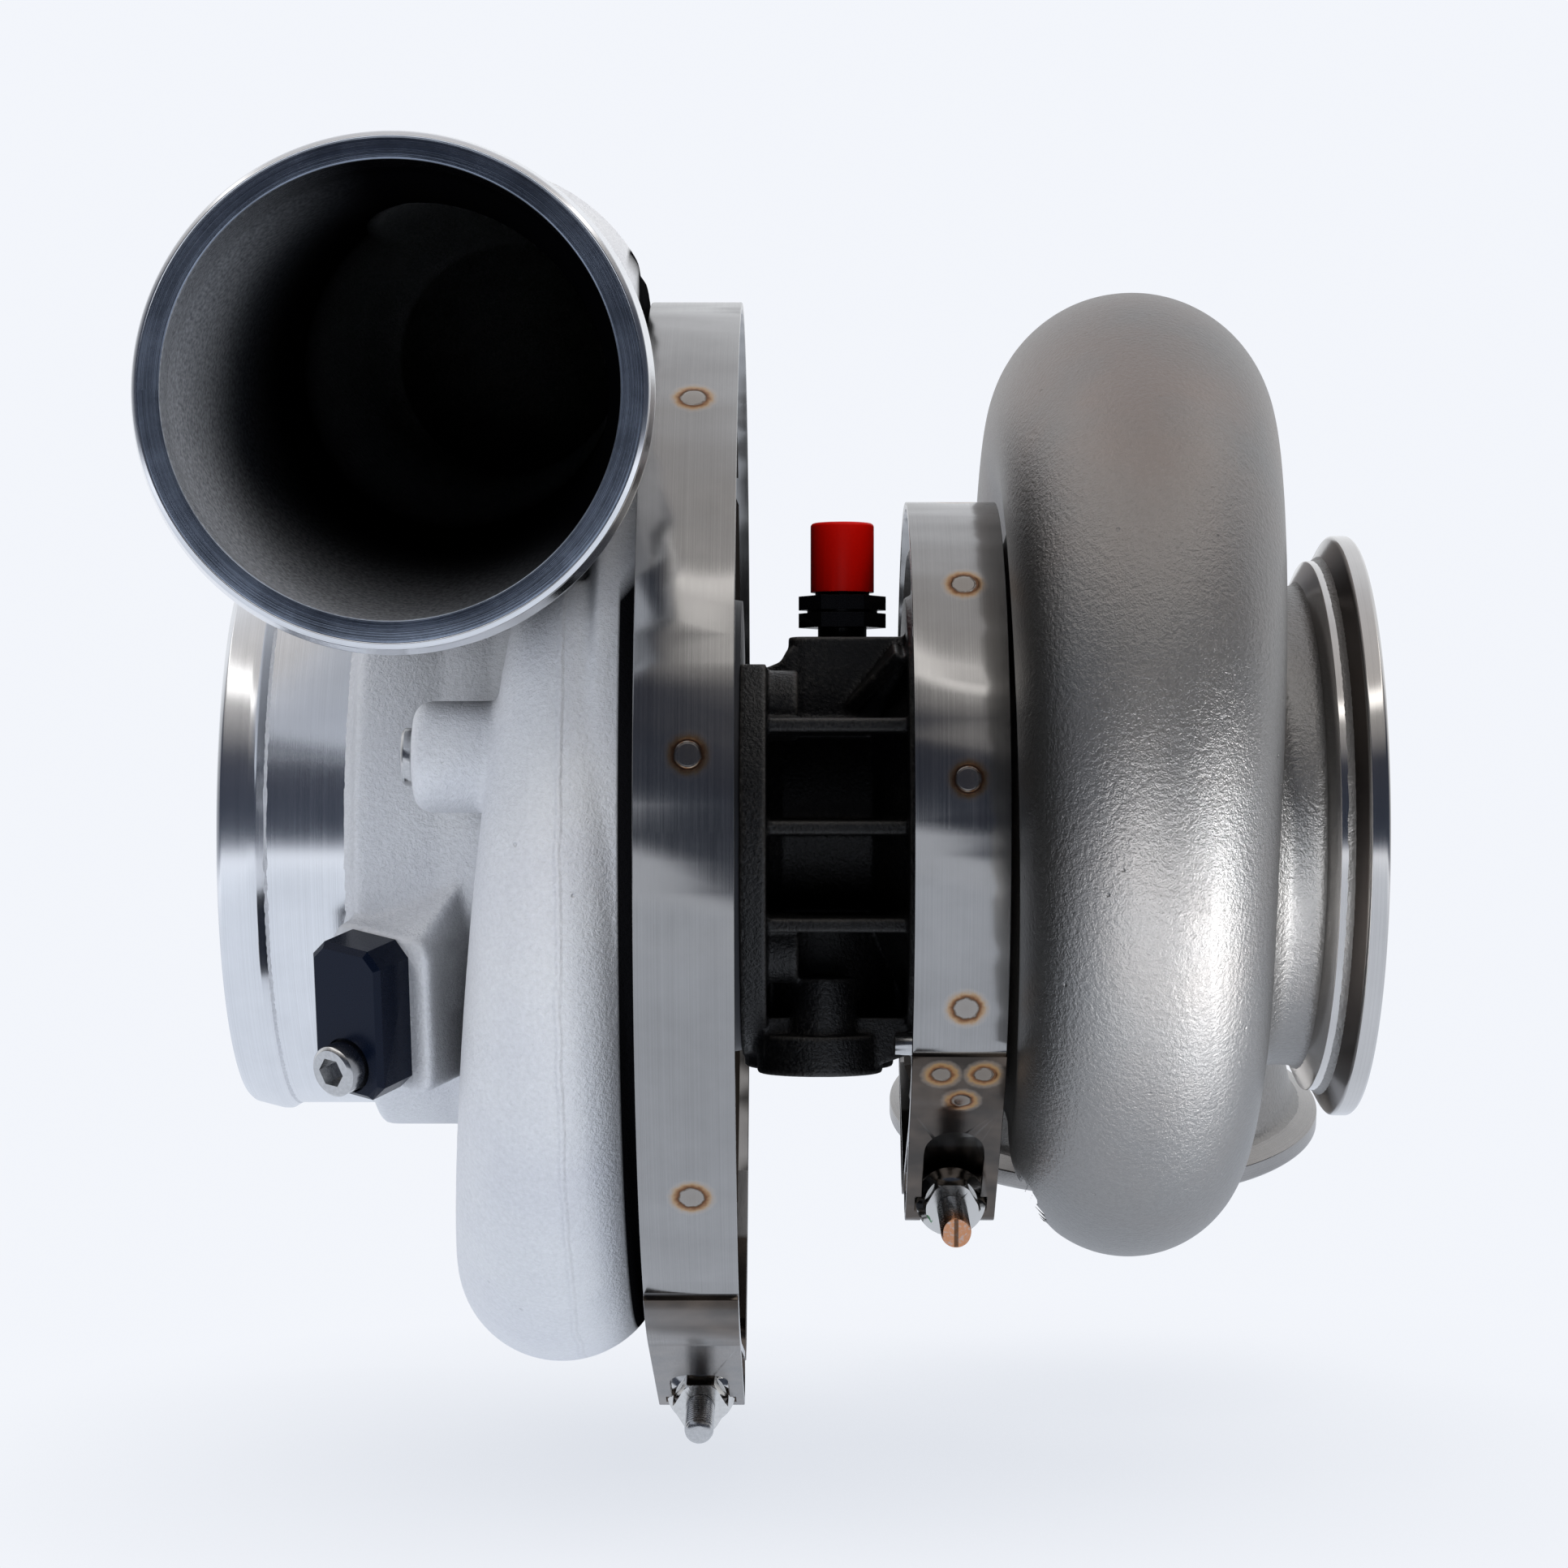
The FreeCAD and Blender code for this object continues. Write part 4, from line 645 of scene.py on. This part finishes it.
def exhaust_turned_flange(material):
    """Turned V-band flange; along runs from the scroll to the outlet face."""
    profile = rounded([(-11.0, 49.1), (-8.7, 54.2), (-6.5, 54.2), (-4.0, 58.75), (-3.5, 59.3), (-0.6, 59.3),
                       (0.06, 58.7), (0.06, 44.5), (-0.6, 43.9), (-8.0, 43.9), (-9.0, 46.0), (-8.0, 48.0)],
                      0.3)
    obj = lathe("exhaust_outlet_turned_flange", profile, along((EXHAUST_FACE.x, 0, 0), (1, 0, 0)))
    return dress(obj, material, "turbo_core")


def inlet_turned_flange(material):
    profile = rounded([(0.05, 45.7), (0.05, 49.0), (-0.6, 49.68), (-4.0, 49.68), (-6.4, 44.1), (-8.0, 43.6),
                       (-8.0, 40.0), (-8.0, 37.9), (-0.98, 37.9), (-0.85, 38.2), (-0.85, 45.5)], 0.25)
    obj = lathe("turbine_inlet_turned_flange", profile, along(FLANGE_FACE, FLANGE_AXIS))
    return dress(obj, material, "turbo_core")


def stud_metal(name, color, length, copper):
    """Rolled thread with copper paste at the free end where copper is set, and a dark line across that end
    painted as the shade of a screwdriver cut.
    """
    m = plain_metal(name, color, 0.24)
    position = m.split(m.p)
    x, z = position[0], position[2]
    grain = m.noise(m.p, 1.3, 4.0, 0.6)
    steel = m.mix(m.spread(grain, 0.3, 0.7), tuple(c * 0.8 for c in color), color)
    if copper:
        paste = m.math("MULTIPLY", m.spread(z, length - 9.0, length - 3.0), m.spread(grain, 0.25, 0.5))
        steel = m.mix(paste, steel, (0.62, 0.30, 0.16))
        # painted shade standing in for a screwdriver cut across the free end
        across = m.spread(m.math("ABSOLUTE", x), 0.35, 0.5, 1.0, 0.0)
        painted_slot_shade = m.math("MULTIPLY", across, m.spread(z, length - 0.15, length - 0.05))
        steel = m.mix(painted_slot_shade, steel, (0.01, 0.008, 0.006))
    return m.set(Base_Color=steel)


def t_bolt(side, bar_material, dome, copper):
    """Threaded stud with its cross bar, in place of the plain CAD bolt."""
    bar, tip = bolt_line(side)
    length = (tip - bar).length + 0.15
    stud = threaded_rod(side + "_clamp_stud", 3.0, 1.0, 0.45, length, dome, along(bar, tip - bar))
    metal = stud_metal(side + "_stud_metal", (0.60, 0.60, 0.60), length, copper)
    dress(stud, metal, "turbo_core", (side + "_clamp_t_bolt",))
    half = [(7.0, 4.2), (7.5, 4.0), (7.8, 3.6), (7.8, 0.0)]
    outline = [(-z, r) for z, r in reversed(half)] + half
    cross_bar = lathe(side + "_clamp_cross_bar", outline, along(bar, (1, 0, 0)), 64, False)
    dress(cross_bar, bar_material, "turbo_core")


def build():
    cast_alu = cast_aluminium()
    turned_alu = turned_metal("turned_aluminium", (0.78, 0.79, 0.81), 0.16)
    dull_steel = turned_metal("dull_turned_stainless", (0.34, 0.33, 0.32), 0.27, stain=0.12)
    stainless_cast = cast_stainless()
    zinc = plain_metal("bright_plated_steel", (0.60, 0.60, 0.60), 0.22)
    bearing = plain_metal("bearing_steel", (0.55, 0.56, 0.58), 0.15)
    alloy = plain_metal("turbine_alloy", (0.33, 0.30, 0.28), 0.38, 0.2)
    billet = turned_metal("billet_aluminium", (0.78, 0.79, 0.80), 0.22, "X")
    # painted shade: the aluminium backplate is coloured near black so it reads as shade through the openings
    # round it
    shaded_backplate = turned_metal("backplate_painted_shade", (0.035, 0.036, 0.04), 0.45, "X")
    ring_iron = plain_metal("ring_iron", (0.20, 0.20, 0.21), 0.35)
    brass = plain_metal("cage_brass", (0.68, 0.48, 0.20), 0.30)
    sheet = plain_metal("heat_shield_steel", (0.42, 0.36, 0.30), 0.35)
    # dark heat-tinted steel, darkened further as painted shade beside the housings
    shaded_liner = plain_metal("clamp_liner_painted_shade", (0.060, 0.050, 0.042), 0.45)
    rubber = seal_rubber()
    iron = black_iron()
    anodised = black_anodised("navy_black_anodised", (0.0015, 0.004, 0.013), (0.003, 0.007, 0.020))
    fitting_black = black_anodised("fitting_black", (0.002, 0.002, 0.003), (0.004, 0.004, 0.005))
    red = red_plastic()
    looks = {
        "compressor_housing": cast_alu, "compressor_wheel": billet, "compressor_nut": zinc,
        "compressor_backplate": shaded_backplate, "backplate_bolts": zinc, "compressor_housing_oring": rubber,
        "compressor_spacer": bearing, "compressor_sealing_ring": ring_iron, "bearing_housing": iron,
        "bearing_outer_sleeve": bearing, "compressor_side_inner_race": bearing,
        "turbine_side_inner_race": bearing, "compressor_side_balls": bearing, "turbine_side_balls": bearing,
        "compressor_side_ball_cage": brass, "turbine_side_ball_cage": brass, "bearing_locating_pin": bearing,
        "turbine_wheel_and_shaft": alloy, "turbine_sealing_ring": ring_iron, "heat_shield": sheet,
        "turbine_housing": stainless_cast, "turbine_locating_pin": zinc,
        "compressor_clamp_band": clamp_band("compressor"), "compressor_clamp_segments": shaded_liner,
        "compressor_clamp_t_bolt": zinc, "compressor_clamp_trunnion": zinc,
        "compressor_clamp_nut": bright_nut("compressor"),
        "turbine_clamp_band": clamp_band("turbine"), "turbine_clamp_segments": shaded_liner,
        "turbine_clamp_t_bolt": zinc, "turbine_clamp_trunnion": zinc,
        "turbine_clamp_nut": painted_nut("turbine"),
        "oil_inlet_fitting": fitting_black, "oil_inlet_cap": red, "speed_sensor_block": anodised,
        "speed_sensor_screw": zinc, "speed_sensor_oring": rubber, "boost_port_plug": zinc,
    }
    for node, material in looks.items():
        dress(NODES[node], material)
    soften_casting("compressor_housing", 0.8, 10)
    soften_casting("turbine_housing", 0.9, 10)
    soften_casting("bearing_housing", 0.5, 6)
    for node in ("compressor_clamp_band", "turbine_clamp_band"):
        break_edges(node, 0.18)
    for node in ("speed_sensor_block", "oil_inlet_fitting", "speed_sensor_screw", "boost_port_plug",
                 "compressor_clamp_nut", "turbine_clamp_nut",
                 "compressor_nut", "turbine_locating_pin", "compressor_clamp_trunnion",
                 "turbine_clamp_trunnion", "oil_inlet_cap"):
        break_edges(node, 0.15)
    inlet_turned_end(turned_alu)
    discharge_turned_end(discharge_face_metal(), turned_alu)
    exhaust_turned_flange(flange_metal_dark_slope())
    inlet_turned_flange(dull_steel)
    t_bolt("compressor", zinc, 2.2, False)
    t_bolt("turbine", zinc, 0.5, True)


# ---------------------------------------------------------------- surroundings
PALE = (0.895, 0.918, 0.968)
FLOOR_BELOW = 0.004
FLOOR_R = 0.9
SHAFT_MIDDLE = Vector((SHAFT_MIDDLE_X * MM, 0, 0))
# degrees to the right of the viewer's side, degrees above the horizon, watts
SCROLL_STRIPS = {"right_strip": (58, -30, 13.0), "left_strip": (-12, -32, 8.0)}
STRIP_SIZE = (0.15, 0.6)
STRIP_DISTANCE = 0.9
STRIP_AIM_LEFT = 0.02
STRIP_AIM_Y = -0.05
CAMERA_FROM_SHAFT_MIDDLE = Vector((-0.0088, -0.750, 0.0085))
CAMERA_LENS = 83.85
CAMERA_SHIFT_X = -0.0098


def studio_world():
    world = bpy.data.worlds.new("studio")
    bpy.context.scene.world = world
    world.use_nodes = True
    g = Graph(world.node_tree)
    g.tree.nodes.clear()
    out = g.add("ShaderNodeOutputWorld")
    direction = g.add("ShaderNodeTexCoord").outputs["Generated"]
    x, y, z = g.split(direction)
    height = g.math("ARCSINE", z)
    up = g.spread(height, -math.pi / 2, math.pi / 2)
    front = g.ramp(up, [
        (0.00, (0.30, 0.32, 0.36)), (0.22, (0.45, 0.48, 0.54)), (0.36, (0.80, 0.86, 0.95)),
        (0.44, (1.25, 1.3, 1.4)), (0.458, (0.20, 0.22, 0.28)),
        (0.475, (0.035, 0.045, 0.07)), (0.645, (0.05, 0.055, 0.075)),
        (0.70, (0.34, 0.33, 0.33)), (0.75, (0.45, 0.44, 0.43)), (0.770, (2.3, 2.24, 2.18)),
        (0.788, (2.3, 2.24, 2.18)), (0.806, (0.58, 0.56, 0.55)), (1.00, (0.66, 0.65, 0.66))])
    back = g.ramp(up, [(0.0, (0.45, 0.47, 0.52)), (0.45, (0.85, 0.88, 0.95)), (0.55, (0.95, 0.97, 1.0)),
                       (1.0, (0.75, 0.76, 0.80))])
    facing = g.spread(y, -0.15, 0.45, 0.0, 1.0, True)
    light = g.mix(facing, front, back)
    shown = g.add("ShaderNodeLightPath").outputs["Is Camera Ray"]
    lit = g.add("ShaderNodeBackground", {"Color": light, "Strength": 1.0})
    plain = g.add("ShaderNodeBackground", {"Color": PALE + (1.0,), "Strength": 1.0})
    mixed = g.add("ShaderNodeMixShader", {0: shown, 1: lit.outputs[0], 2: plain.outputs[0]})
    g.feed(out.inputs[0], mixed.outputs[0])


def floor():
    """Pale floor that fades into the backdrop; to the camera it glows with a faint contact shadow painted in
    from ambient occlusion, and to other rays it glows bluish and lights the piece from below.
    """
    low = CAD_BOX[0].z - FLOOR_BELOW
    rings, sides = 24, 64
    middle = (CAD_BOX[0] + CAD_BOX[1]) / 2
    verts, faces = [(middle.x, middle.y, low)], []
    for i in range(1, rings + 1):
        r = FLOOR_R * i / rings
        for s in range(sides):
            a = 2 * math.pi * s / sides
            verts.append((middle.x + r * math.cos(a), middle.y + r * math.sin(a), low))
    for s in range(sides):
        faces.append((0, 1 + s, 1 + (s + 1) % sides))
    for i in range(rings - 1):
        for s in range(sides):
            n = (s + 1) % sides
            a, b = 1 + i * sides, 1 + (i + 1) * sides
            faces.append((a + s, b + s, b + n, a + n))
    obj = mesh_object("studio_floor", verts, faces, Matrix.Identity(4))
    m = Material("studio_floor", Roughness=0.9)
    shade = m.add("ShaderNodeAmbientOcclusion", {"Distance": 0.12}, samples=8).outputs["AO"]
    tone = m.mix(m.spread(shade, 0.30, 1.0), (0.72, 0.75, 0.81), PALE)
    grain = m.noise(m.p, 0.2, 3.0)
    tone = m.mix(m.math("MULTIPLY", grain, 0.01), tone, (0.8, 0.8, 0.8))
    glow = m.add("ShaderNodeEmission", {"Color": tone, "Strength": 1.0})
    light = m.add("ShaderNodeEmission", {"Color": (0.74, 0.79, 0.88, 1.0), "Strength": 1.0})
    shown = m.add("ShaderNodeLightPath").outputs["Is Camera Ray"]
    surface = m.add("ShaderNodeMixShader", {0: shown, 1: light.outputs[0], 2: glow.outputs[0]})
    clear = m.add("ShaderNodeBsdfTransparent")
    away = m.distance_to(Vector((middle.x, middle.y, low)) * 1000)
    fade = m.spread(away, 250.0, 850.0, 0.0, 1.0, True)
    mixed = m.add("ShaderNodeMixShader", {0: fade, 1: surface.outputs[0], 2: clear.outputs[0]})
    out = next(n for n in m.tree.nodes if n.bl_idname == "ShaderNodeOutputMaterial")
    m.feed(out.inputs[0], mixed.outputs[0])
    obj.data.materials.append(m.mat)
    obj.visible_shadow = False


def softbox(name, place, target, size, power, color, mirrored=True):
    data = bpy.data.lights.new(name, "AREA")
    data.shape = "RECTANGLE"
    data.size, data.size_y = size
    data.energy = power
    data.color = color
    obj = bpy.data.objects.new(name, data)
    bpy.context.scene.collection.objects.link(obj)
    obj.location = place
    obj.rotation_euler = (Vector(target) - Vector(place)).to_track_quat("-Z", "Y").to_euler()
    obj.visible_glossy = mirrored
    return obj


def lights():
    softbox("top_softbox", (0.15, -0.75, 0.95), SHAFT_MIDDLE, (0.9, 0.35), 6.0, (1.0, 0.97, 0.93), False)
    softbox("left_softbox", (-1.05, -0.85, 0.10), SHAFT_MIDDLE, (0.28, 0.9), 6.0, (0.95, 0.97, 1.0), False)
    softbox("right_softbox", (1.05, -0.75, 0.12), SHAFT_MIDDLE, (0.28, 0.9), 8.0, (1.0, 0.99, 0.97), False)


def scroll_strips():
    """Two tall strips, low in front, that only the turbine casting catches."""
    receiver = bpy.data.collections.new("turbine_casting_only")
    receiver.objects.link(NODES["turbine_housing"])
    low, high = (v * MM for v in box_mm("turbine_housing"))
    middle = Vector(((low.x + high.x) / 2 - STRIP_AIM_LEFT, STRIP_AIM_Y, 0.0))
    for name, (azimuth, elevation, power) in SCROLL_STRIPS.items():
        turn, rise = math.radians(azimuth), math.radians(elevation)
        away = Vector((math.cos(rise) * math.sin(turn), -math.cos(rise) * math.cos(turn), math.sin(rise)))
        place = middle + away * STRIP_DISTANCE
        strip = softbox(name, place, middle, STRIP_SIZE, power, (1.0, 1.0, 1.0))
        strip.light_linking.receiver_collection = receiver


def camera():
    data = bpy.data.cameras.new("camera")
    data.sensor_width = 36.0
    data.lens = CAMERA_LENS
    data.shift_x = CAMERA_SHIFT_X
    data.clip_start, data.clip_end = 0.05, 20.0
    obj = bpy.data.objects.new("camera", data)
    bpy.context.scene.collection.objects.link(obj)
    obj.location = SHAFT_MIDDLE + CAMERA_FROM_SHAFT_MIDDLE
    obj.rotation_euler = (math.radians(90), 0, 0)
    bpy.context.scene.camera = obj


build()
studio_world()
floor()
lights()
scroll_strips()
camera()
bpy.context.scene.view_settings.view_transform = "Standard"
bpy.context.view_layer.update()
